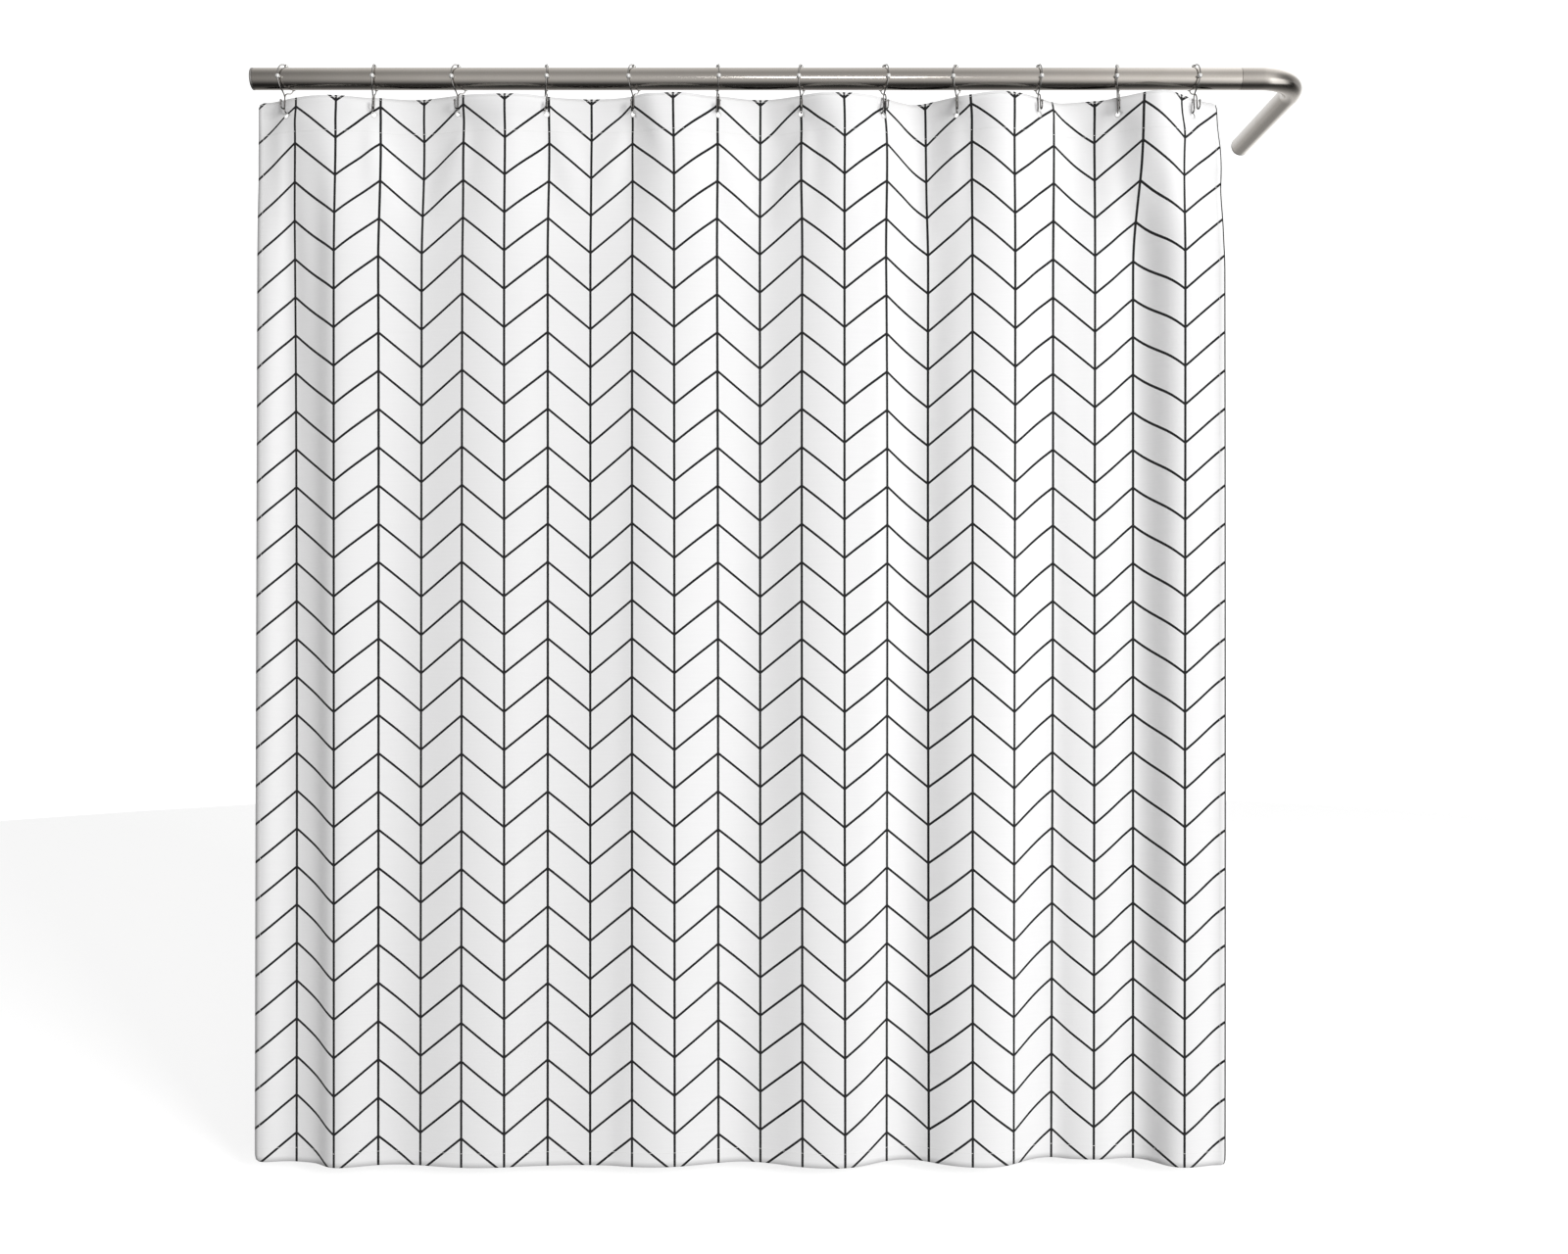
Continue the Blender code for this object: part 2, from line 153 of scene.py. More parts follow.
def rounded(corners: list[tuple[float, float, float]], steps: int = 4) -> list[tuple[float, float]]:
    """Round the corners of a closed outline.

    Args:
        corners: (radius, height, rounding) of each corner, in order.
        steps: Number of steps in each rounding.

    Returns:
        The outline's points.
    """
    points = []
    count = len(corners)
    for index, (x, y, size) in enumerate(corners):
        here = Vector((x, y))
        if size <= 0:
            points.append((x, y))
            continue
        before = (Vector(corners[index - 1][:2]) - here).normalized() * size
        after = (Vector(corners[(index + 1) % count][:2]) - here).normalized() * size
        for step in range(steps + 1):
            t = step / steps
            point = (here + before) * (1 - t) ** 2 + here * 2 * t * (1 - t) + (here + after) * t ** 2
            points.append((point.x, point.y))
    return points


def sweep(points: list[Vector], radii: list[float], sides: int,
          side_hint: Vector = Vector((1, 0, 0)), capped: bool = True) -> bmesh.types.BMesh:
    """Carry a circle along a path by extruding it step by step.

    Args:
        points: Centreline.
        radii: Radius at each point.
        sides: Number of sides of the circle.
        side_hint: A direction that is never along the path.
        capped: True to close both ends.

    Returns:
        A bmesh with the swept shape.
    """
    bm = bmesh.new()
    ring = bmesh.ops.create_circle(bm, cap_ends=capped, radius=1.0, segments=sides)["verts"]
    place = Matrix.Identity(4)
    last = len(points) - 1
    edges = bm.edges[:]
    for index, point in enumerate(points):
        along = (points[min(index + 1, last)] - points[max(index - 1, 0)]).normalized()
        across = side_hint.cross(along).normalized()
        other = along.cross(across)
        rotation = Matrix((across, other, along)).transposed().to_4x4()
        target = Matrix.Translation(point) @ rotation @ Matrix.Scale(radii[index], 4)
        if index:
            made = bmesh.ops.extrude_edge_only(bm, edges=edges)["geom"]
            ring = [item for item in made if isinstance(item, bmesh.types.BMVert)]
            ends = set(ring)
            edges = [item for item in made if isinstance(item, bmesh.types.BMEdge)
                     and set(item.verts) <= ends]
        bmesh.ops.transform(bm, matrix=target @ place.inverted(), verts=ring)
        place = target
    if capped:
        bmesh.ops.contextual_create(bm, geom=edges)
    return bm


def applied(obj: bpy.types.Object) -> bpy.types.Object:
    """Make an object's modifiers part of its mesh.

    Args:
        obj: The object, whose modifiers are removed.

    Returns:
        The same object with its new mesh.
    """
    graph = bpy.context.evaluated_depsgraph_get()
    mesh = bpy.data.meshes.new_from_object(obj.evaluated_get(graph), depsgraph=graph)
    obj.modifiers.clear()
    obj.data = mesh
    return obj


def carve(obj: bpy.types.Object, cutter: bpy.types.Object) -> None:
    """Cut one object out of another and delete the cutter.

    Args:
        obj: The object that is cut.
        cutter: The closed shape that is taken away.
    """
    modifier = obj.modifiers.new("carve", "BOOLEAN")
    modifier.operation = "DIFFERENCE"
    modifier.solver = "EXACT"
    modifier.object = cutter
    applied(obj)
    bpy.data.objects.remove(cutter, do_unlink=True)


# ---- finishes --------------------------------------------------------------------
class Tree:
    """Writes the nodes of one material, world or group."""

    def __init__(self, tree: bpy.types.NodeTree) -> None:
        """Args: tree: The node tree to write."""
        self.tree = tree

    def node(self, kind: str, values: dict | None = None, **settings: object) -> bpy.types.Node:
        """Add a node.

        Args:
            kind: Node type.
            values: Input values or sockets to link, by input name or number.
            **settings: Properties of the node.

        Returns:
            The node.
        """
        made = self.tree.nodes.new(kind)
        for key, value in settings.items():
            setattr(made, key, value)
        for key, value in (values or {}).items():
            self.feed(made.inputs[key], value)
        return made

    def feed(self, socket: bpy.types.NodeSocket, value: object) -> None:
        """Link a socket to an input, or set the input's value.

        Args:
            socket: The input.
            value: An output socket, a number or a colour.
        """
        if isinstance(value, bpy.types.NodeSocket):
            self.tree.links.new(value, socket)
        else:
            socket.default_value = value

    def math(self, operation: str, *values: object) -> bpy.types.NodeSocket:
        """Add a Math node and give its output."""
        return self.node("ShaderNodeMath", dict(enumerate(values)), operation=operation).outputs[0]

    def vector(self, operation: str, first: object, second: object) -> bpy.types.NodeSocket:
        """Add a Vector Math node and give its output; SCALE takes a number second."""
        key = "Scale" if operation == "SCALE" else 1
        return self.node("ShaderNodeVectorMath", {0: first, key: second},
                         operation=operation).outputs[0]

    def relief(self, shader: bpy.types.Node, height: object, strength: float) -> None:
        """Give a shader a fine bump."""
        bump = self.node("ShaderNodeBump", {"Height": height, "Strength": strength,
                                            "Distance": BUMP_DISTANCE})
        self.feed(shader.inputs["Normal"], bump.outputs[0])

    def mix(self, share: object, first: object, second: object) -> bpy.types.NodeSocket:
        """Mix two colours and give the result."""
        made = self.node("ShaderNodeMix", data_type="RGBA")
        for name, value in (("Factor_Float", share), ("A_Color", first), ("B_Color", second)):
            self.feed(next(item for item in made.inputs if item.identifier == name), value)
        return next(item for item in made.outputs if item.identifier == "Result_Color")

    def ramp(self, value: object, low: float, high: float, start: float = 0.0,
             end: float = 1.0) -> bpy.types.NodeSocket:
        """Map a value from low..high to start..end, held at both ends."""
        made = self.node("ShaderNodeMapRange", {0: value, 1: low, 2: high, 3: start, 4: end})
        return made.outputs[0]

    def place(self, name: str, values: dict) -> bpy.types.Node:
        """Place a shared group."""
        made = self.node("ShaderNodeGroup", node_tree=bpy.data.node_groups[name])
        for key, value in values.items():
            self.feed(made.inputs[key], value)
        return made


def shared_group(name: str, inputs: dict[str, tuple[str, object]],
                 outputs: dict[str, str]) -> tuple[Tree, bpy.types.Node, bpy.types.Node]:
    """Start a shader node group.

    Args:
        name: Name of the group.
        inputs: Socket type and default value of each input.
        outputs: Socket type of each output.

    Returns:
        The group's tree, its input node and its output node.
    """
    group = bpy.data.node_groups.new(name, "ShaderNodeTree")
    for label, (kind, value) in inputs.items():
        socket = group.interface.new_socket(label, in_out="INPUT", socket_type=kind)
        if value is not None:
            socket.default_value = value
    for label, kind in outputs.items():
        group.interface.new_socket(label, in_out="OUTPUT", socket_type=kind)
    tree = Tree(group)
    return tree, tree.node("NodeGroupInput"), tree.node("NodeGroupOutput")


FLOAT, COLOR, VECTOR = "NodeSocketFloat", "NodeSocketColor", "NodeSocketVector"


def build_weave_group() -> None:
    """Plain weave: warp and weft threads crossing over and under each other."""
    tree, given, result = shared_group(
        "plain_weave",
        {"Coordinates": (VECTOR, None), "Threads per metre": (FLOAT, 1400.0)},
        {"Height": FLOAT, "Slub": FLOAT})
    scaled = tree.vector("SCALE", given.outputs[0], given.outputs[1])
    split = tree.node("ShaderNodeSeparateXYZ", {0: scaled})
    warp = tree.math("SINE", tree.math("MULTIPLY", split.outputs[0], math.pi))
    weft = tree.math("SINE", tree.math("MULTIPLY", split.outputs[1], math.pi))
    over = tree.math("MULTIPLY", warp, weft)
    tree.feed(result.inputs["Height"], tree.math("MULTIPLY_ADD", over, 0.5, 0.5))
    stretch = tree.node("ShaderNodeMapping", {0: given.outputs[0]})
    stretch.inputs["Scale"].default_value = (9, 320, 1)
    slub = tree.node("ShaderNodeTexNoise", {"Vector": stretch.outputs[0], "Scale": 1.0, "Detail": 2.0})
    tree.feed(result.inputs["Slub"], slub.outputs["Fac"])


def build_brushed_group() -> None:
    """Fine lines left by a brushing belt, drawn out along X."""
    tree, given, result = shared_group(
        "brushed_lines",
        {"Coordinates": (VECTOR, None), "Along": (FLOAT, 6.0), "Across": (FLOAT, 1800.0)},
        {"Lines": FLOAT, "Patches": FLOAT})
    scale = tree.node("ShaderNodeCombineXYZ", {0: given.outputs[1], 1: given.outputs[2],
                                               2: given.outputs[2]})
    drawn = tree.vector("MULTIPLY", given.outputs[0], scale.outputs[0])
    lines = tree.node("ShaderNodeTexNoise", {"Vector": drawn, "Scale": 1.0, "Detail": 3.0})
    patches = tree.node("ShaderNodeTexNoise", {"Vector": given.outputs[0], "Scale": 7.0,
                                               "Detail": 3.0, "Roughness": 0.6})
    tree.feed(result.inputs["Lines"], lines.outputs["Fac"])
    tree.feed(result.inputs["Patches"], patches.outputs["Fac"])


def build_handling_group() -> None:
    """Faint smudges and dust on metal that is touched and splashed."""
    tree, given, result = shared_group(
        "handling_marks",
        {"Coordinates": (VECTOR, None), "Size": (FLOAT, 60.0), "Amount": (FLOAT, 0.5)},
        {"Marks": FLOAT, "Specks": FLOAT})
    smudge = tree.node("ShaderNodeTexNoise", {"Vector": given.outputs[0], "Scale": given.outputs[1],
                                              "Detail": 4.0, "Distortion": 0.6})
    marks = tree.ramp(smudge.outputs["Fac"], 0.48, 0.68)
    tree.feed(result.inputs["Marks"], tree.math("MULTIPLY", marks, given.outputs[2]))
    fine = tree.math("MULTIPLY", given.outputs[1], 22.0)
    speck = tree.node("ShaderNodeTexNoise", {"Vector": given.outputs[0], "Scale": fine, "Detail": 1.0})
    specks = tree.ramp(speck.outputs["Fac"], 0.70, 0.76)
    tree.feed(result.inputs["Specks"], tree.math("MULTIPLY", specks, given.outputs[2]))


@dataclass(frozen=True)
class ChevronPrint:
    """The printed lines, measured on the flat cloth."""

    cloth_width: float = CLOTH_WIDTH
    cloth_drop: float = CLOTH_DROP
    columns: int = 23
    line_width: float = 0.0044
    slant_height: float = 0.0050      # of a slanted line, measured up and down
    peak_below_top: float = 0.0155
    repeat: float = 0.06535
    peak_to_valley: float = 0.0597
    edge_softness: float = 0.0005

    def build_group(self) -> None:
        """Make the group that masks the printed lines from the cloth's UV map."""
        tree, given, result = shared_group("chevron_print", {"UV": (VECTOR, None)}, {"Ink": FLOAT})
        split = tree.node("ShaderNodeSeparateXYZ", {0: given.outputs[0]})
        pitch = self.cloth_width / self.columns
        column = tree.math("MULTIPLY", split.outputs[0], float(self.columns))
        nearest = tree.math("ROUND", column)
        away = tree.math("ABSOLUTE", tree.math("SUBTRACT", column, nearest))
        away = tree.math("MULTIPLY", away, pitch)
        soft = self.edge_softness
        half = self.line_width / 2
        upright = tree.ramp(away, half + soft / 2, half - soft / 2)
        upright = tree.math("MULTIPLY", upright, tree.math("GREATER_THAN", column, 0.5))
        wave = tree.math("FLOORED_MODULO", tree.math("ADD", column, 1.0), 2.0)
        wave = tree.math("ABSOLUTE", tree.math("SUBTRACT", wave, 1.0))
        below = tree.math("MULTIPLY", tree.math("SUBTRACT", 1.0, split.outputs[1]), self.cloth_drop)
        drop = tree.math("MULTIPLY", tree.math("SUBTRACT", 1.0, wave), self.peak_to_valley)
        row = tree.math("SUBTRACT", tree.math("SUBTRACT", below, self.peak_below_top), drop)
        row = tree.math("DIVIDE", row, self.repeat)
        level = tree.math("ABSOLUTE", tree.math("SUBTRACT", row, tree.math("ROUND", row)))
        level = tree.math("MULTIPLY", level, self.repeat)
        tall = self.slant_height / 2
        slanted = tree.ramp(level, tall + soft / 2, tall - soft / 2)
        tree.feed(result.inputs["Ink"], tree.math("MAXIMUM", upright, slanted))


def material_with_tree(name: str, metallic: float, roughness: float,
                       **sockets: float) -> tuple[bpy.types.Material, Tree, bpy.types.Node]:
    """Start a material from its Principled shader.

    Args:
        name: Name of the material.
        metallic: Metallic value.
        roughness: Roughness value.
        **sockets: Other plain values, by input name with underscores.

    Returns:
        The material, its tree and its shader node.
    """
    material = bpy.data.materials.new(name)
    material.use_nodes = True
    shader = material.node_tree.nodes["Principled BSDF"]
    shader.inputs["Metallic"].default_value = metallic
    shader.inputs["Roughness"].default_value = roughness
    for key, value in sockets.items():
        shader.inputs[key.replace("_", " ")].default_value = value
    return material, Tree(material.node_tree), shader


@dataclass(frozen=True)
class PrintedFabric:
    """White woven polyester with printed lines, seen from one side."""

    name: str
    side: ClothSide
    white: tuple[float, float, float] = (0.875, 0.872, 0.875)
    ink: tuple[float, float, float] = (0.012, 0.012, 0.013)
    roughness: float = 0.86
    ink_polish: float = 0.12          # how much smoother the ink is than the cloth
    show_through: float = 0.16        # of the ink on the back
    threads: float = 1500.0           # to the metre

    def make(self) -> bpy.types.Material:
        """Build the material."""
        material, tree, shader = material_with_tree(
            self.name, 0.0, self.roughness, Sheen_Weight=0.12, Sheen_Roughness=0.5,
            Specular_IOR_Level=0.25)
        uv = tree.node("ShaderNodeUVMap", uv_map="cloth").outputs[0]
        printed = tree.place("chevron_print", {"UV": uv}).outputs["Ink"]
        flat = tree.vector("MULTIPLY", uv, (CLOTH_WIDTH, CLOTH_DROP, 1.0))
        weave = tree.place("plain_weave", {"Coordinates": flat, "Threads per metre": self.threads})
        slub = tree.ramp(weave.outputs["Slub"], 0.3, 0.7, 0.985, 1.0)
        cloth = tree.vector("SCALE", self.white, slub)
        strength = 1.0 if self.side is ClothSide.FRONT else self.show_through
        share = tree.math("MULTIPLY", printed, strength)
        color = tree.mix(share, cloth, (*self.ink, 1.0))
        tree.feed(shader.inputs["Base Color"], color)
        tree.feed(shader.inputs["Roughness"],
                  tree.ramp(share, 0.0, 1.0, self.roughness, self.roughness - self.ink_polish))
        height = tree.math("MULTIPLY_ADD", weave.outputs["Slub"], 0.6, weave.outputs["Height"])
        tree.relief(shader, height, 0.10)
        return material


@dataclass(frozen=True)
class PlainFabric:
    """Undyed woven tape or sewing thread."""

    name: str
    color: tuple[float, float, float]
    roughness: float = 0.9
    threads: float = 900.0            # to the metre

    def make(self) -> bpy.types.Material:
        """Build the material."""
        material, tree, shader = material_with_tree(
            self.name, 0.0, self.roughness, Sheen_Weight=0.15, Specular_IOR_Level=0.2)
        place = tree.node("ShaderNodeTexCoord").outputs["Object"]
        turned = tree.node("ShaderNodeMapping", {0: place})
        turned.inputs["Rotation"].default_value = (math.pi / 2, 0, 0)
        weave = tree.place("plain_weave", {"Coordinates": turned.outputs[0],
                                           "Threads per metre": self.threads})
        shade = tree.ramp(weave.outputs["Slub"], 0.3, 0.7, 0.94, 1.0)
        tree.feed(shader.inputs["Base Color"], tree.vector("SCALE", self.color, shade))
        tree.relief(shader, weave.outputs["Height"], 0.25)
        return material


@dataclass(frozen=True)
class Metal:
    """A bare or plated metal, brushed, cast or polished."""

    name: str
    color: tuple[float, float, float]
    roughness: float
    brushed: float = 0.0          # depth of the brushing, 0 to 1
    marks: float = 0.3            # amount of smudges
    mark_size: float = 60.0
    tint: tuple[float, float, float] = (0.9, 0.88, 0.85)
    metallic: float = 1.0         # less for a milky, lacquered plating

    def make(self) -> bpy.types.Material:
        """Build the material."""
        material, tree, shader = material_with_tree(self.name, self.metallic, self.roughness)
        place = tree.node("ShaderNodeTexCoord").outputs["Object"]
        lines = tree.place("brushed_lines", {"Coordinates": place, "Along": 5.0, "Across": 1500.0})
        marks = tree.place("handling_marks", {"Coordinates": place, "Size": self.mark_size,
                                              "Amount": self.marks})
        worn = tuple(a * b for a, b in zip(self.color, self.tint))
        color = tree.mix(marks.outputs["Marks"], (*self.color, 1.0), (*worn, 1.0))
        dulled = tuple(value * 0.8 for value in self.color)
        color = tree.mix(tree.math("MULTIPLY", lines.outputs["Lines"], self.brushed * 0.5),
                         color, (*dulled, 1.0))
        tree.feed(shader.inputs["Base Color"], color)
        rough = tree.math("MULTIPLY_ADD", marks.outputs["Marks"], 0.12, self.roughness)
        rough = tree.math("MULTIPLY_ADD", lines.outputs["Lines"], self.brushed * 0.10, rough)
        rough = tree.math("MULTIPLY_ADD", marks.outputs["Specks"], 0.10, rough)
        tree.feed(shader.inputs["Roughness"], rough)
        if self.brushed:
            tree.relief(shader, lines.outputs["Lines"], self.brushed * 0.12)
        return material


@dataclass
class Finishes:
    """Every material of the curtain, its hooks and its rod."""

    cloth_front: bpy.types.Material = field(init=False)
    cloth_back: bpy.types.Material = field(init=False)
    tape: bpy.types.Material = field(init=False)
    thread: bpy.types.Material = field(init=False)
    nickel: bpy.types.Material = field(init=False)
    zinc: bpy.types.Material = field(init=False)
    steel: bpy.types.Material = field(init=False)
    wire: bpy.types.Material = field(init=False)
    bead: bpy.types.Material = field(init=False)

    def __post_init__(self) -> None:
        """Build the shared groups and then the materials."""
        build_weave_group()
        build_brushed_group()
        build_handling_group()
        ChevronPrint().build_group()
        self.cloth_front = PrintedFabric("printed_cloth_front", ClothSide.FRONT).make()
        self.cloth_back = PrintedFabric("printed_cloth_back", ClothSide.BACK).make()
        self.tape = PlainFabric("header_tape_cloth", (0.80, 0.80, 0.78)).make()
        self.thread = PlainFabric("sewing_thread", (0.84, 0.84, 0.83), 0.6, 2500.0).make()
        self.nickel = Metal("brushed_nickel", (0.58, 0.55, 0.515), 0.14, 0.5, 0.25, 14.0).make()
        self.zinc = Metal("cast_zinc", (0.52, 0.51, 0.50), 0.42, 0.0, 0.5, 90.0).make()
        self.steel = Metal("screw_steel", (0.62, 0.62, 0.63), 0.28, 0.0, 0.4, 200.0).make()
        self.wire = Metal("hook_chrome", (0.42, 0.41, 0.40), 0.20, 0.0, 0.3, 160.0).make()
        self.bead = Metal("roller_chrome", (0.97, 0.97, 0.96), 0.24, 0.0, 0.12, 220.0,
                          metallic=0.6).make()


# ---- cloth -----------------------------------------------------------------------
@dataclass(frozen=True)
class Crease:
    """An extra slope of the cloth, seen from above, around one place along it."""

    at: float        # along the flat cloth
    slope: float     # below 0 towards the room
    width: float


@dataclass
class FoldLine:
    """The cloth's folds seen from above, read from the frame's curtain panel."""

    length: float = CLOTH_WIDTH
    deepest: float = 0.040            # the folds level off towards this depth
    lean_of_folds: float = 0.036      # how far the folds drift to the left by the hem
    header: float = 0.025             # share of the height that keeps the eyelets' folds
    settled: float = 0.160            # share of the height where the hanging folds are formed
    creases: tuple[Crease, ...] = (
        Crease(0.006, -0.60, 0.012), Crease(0.030, 0.30, 0.022), Crease(0.095, -0.36, 0.030),
        Crease(0.140, -1.40, 0.018), Crease(0.190, 0.24, 0.030),
        Crease(1.500, 0.10, 0.100), Crease(1.620, 0.50, 0.040), Crease(1.672, -0.50, 0.024),
        Crease(1.710, -1.65, 0.020), Crease(1.738, -0.50, 0.020), Crease(1.785, 0.55, 0.036),
        Crease(1.826, -0.90, 0.010))
    steps: int = 3661                 # points of the plan
    hem_band: float = 0.0001          # corners this close to the lowest one are on the hem
    column_gap: float = 0.003         # corners farther apart belong to different columns
    end_parts: int = 10               # each end fold is one of this many parts of the width
    shares: tuple[tuple[float, float], ...] = (
        (0.0, 0.1), (0.150, 0.1), (0.220, 0.7), (1.560, 0.7), (1.650, 0.1))

    def __post_init__(self) -> None:
        """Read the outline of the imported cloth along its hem."""
        mesh = frame["nodes"]["curtain_panel"].data
        corners = np.array([vert.co for vert in mesh.vertices])
        hem = corners[corners[:, 2] < corners[:, 2].min() + self.hem_band][:, :2]
        hem = hem[np.argsort(hem[:, 0])]
        groups = np.split(hem, np.flatnonzero(np.diff(hem[:, 0]) > self.column_gap) + 1)
        points = np.array([group.mean(axis=0) for group in groups])
        self.along = np.linspace(0, self.length, self.steps)
        self.across = np.linspace(points[0, 0], points[-1, 0], len(self.along))
        self.outline = np.interp(self.across, points[:, 0], points[:, 1])
        self.slope = np.gradient(self.outline, self.across)

    def crease(self) -> np.ndarray:
        """Give the slopes of the sharper folds near each side edge."""
        extra = np.zeros_like(self.along)
        for crease in self.creases:
            extra += crease.slope * np.exp(-((self.along - crease.at) / crease.width) ** 2)
        return extra

    def row(self, along: np.ndarray, depth: float) -> np.ndarray:
        """Give the cloth's plan at one height.

        Args:
            along: Distances from the left edge, from 0 to the full width.
            depth: 0 at the top edge and 1 at the hem.

        Returns:
            One (x, y) row for each distance.
        """
        drift = self.lean_of_folds * depth
        places, shares = zip(*self.shares)
        slope = np.interp(self.across + drift, self.across, self.slope)
        slope = slope * np.interp(self.along, places, shares) + self.crease()
        hanging = np.cumsum(slope) * (self.across[1] - self.across[0])
        gap = self.outline - hanging
        ends = len(gap) // self.end_parts
        margin = self.length / self.end_parts
        hanging += np.interp(self.along, (margin, self.length - margin),
                             (gap[:ends].mean(), gap[-ends:].mean()))
        hanging = self.deepest * np.tanh(hanging / self.deepest)
        formed = min(max((depth - self.header) / (self.settled - self.header), 0.0), 1.0)
        formed = formed * formed * (3 - 2 * formed)
        plan = self.outline * (1 - formed) + hanging * formed
        return np.column_stack((np.interp(along, self.along, self.across),
                                np.interp(along, self.along, plan)))


@dataclass
class ClothMap:
    """The finished cloth as a grid of points, to place everything that is sewn to it."""

    points: np.ndarray                # rows from the hem up, columns from the left
    slope_step: float = 0.004         # share of the cloth over which its slope is read
    heading_step: float = 0.002       # share of the width over which its heading is read

    def spot(self, along: float, up: float) -> Vector:
        """Give the point at shares of the width and of the height."""
        rows, columns = self.points.shape[:2]
        x = min(max(along, 0.0), 1.0) * (columns - 1)
        z = min(max(up, 0.0), 1.0) * (rows - 1)
        i, j = min(int(x), columns - 2), min(int(z), rows - 2)
        a, b = x - i, z - j
        grid = self.points
        low = grid[j, i] * (1 - a) + grid[j, i + 1] * a
        high = grid[j + 1, i] * (1 - a) + grid[j + 1, i + 1] * a
        return Vector(low * (1 - b) + high * b)

    def normal(self, along: float, up: float) -> Vector:
        """Give the direction square to the cloth, towards the room."""
        gap = self.slope_step
        right = self.spot(along + gap, up) - self.spot(along - gap, up)
        above = self.spot(along, up + gap) - self.spot(along, up - gap)
        return right.cross(above).normalized()

    def frame_at(self, along: float, up: float, off: float, turned: bool = False) -> Matrix:
        """Give a frame on the cloth: X along it, Y up it and Z out of its front.

        Args:
            along: Share of the width.
            up: Share of the height.
            off: Distance in front of the cloth's middle.
            turned: True to turn the frame a quarter about its Z.

        Returns:
            The frame's matrix.
        """
        out = self.normal(along, up)
        gap = self.heading_step
        right = self.spot(along + gap, up) - self.spot(along - gap, up)
        right = (right - out * right.dot(out)).normalized()
        above = out.cross(right)
        axes = Matrix((right, above, out)).transposed().to_4x4()
        place = Matrix.Translation(self.spot(along, up) + out * off) @ axes
        return place @ Matrix.Rotation(math.pi / 2, 4, "Z") if turned else place


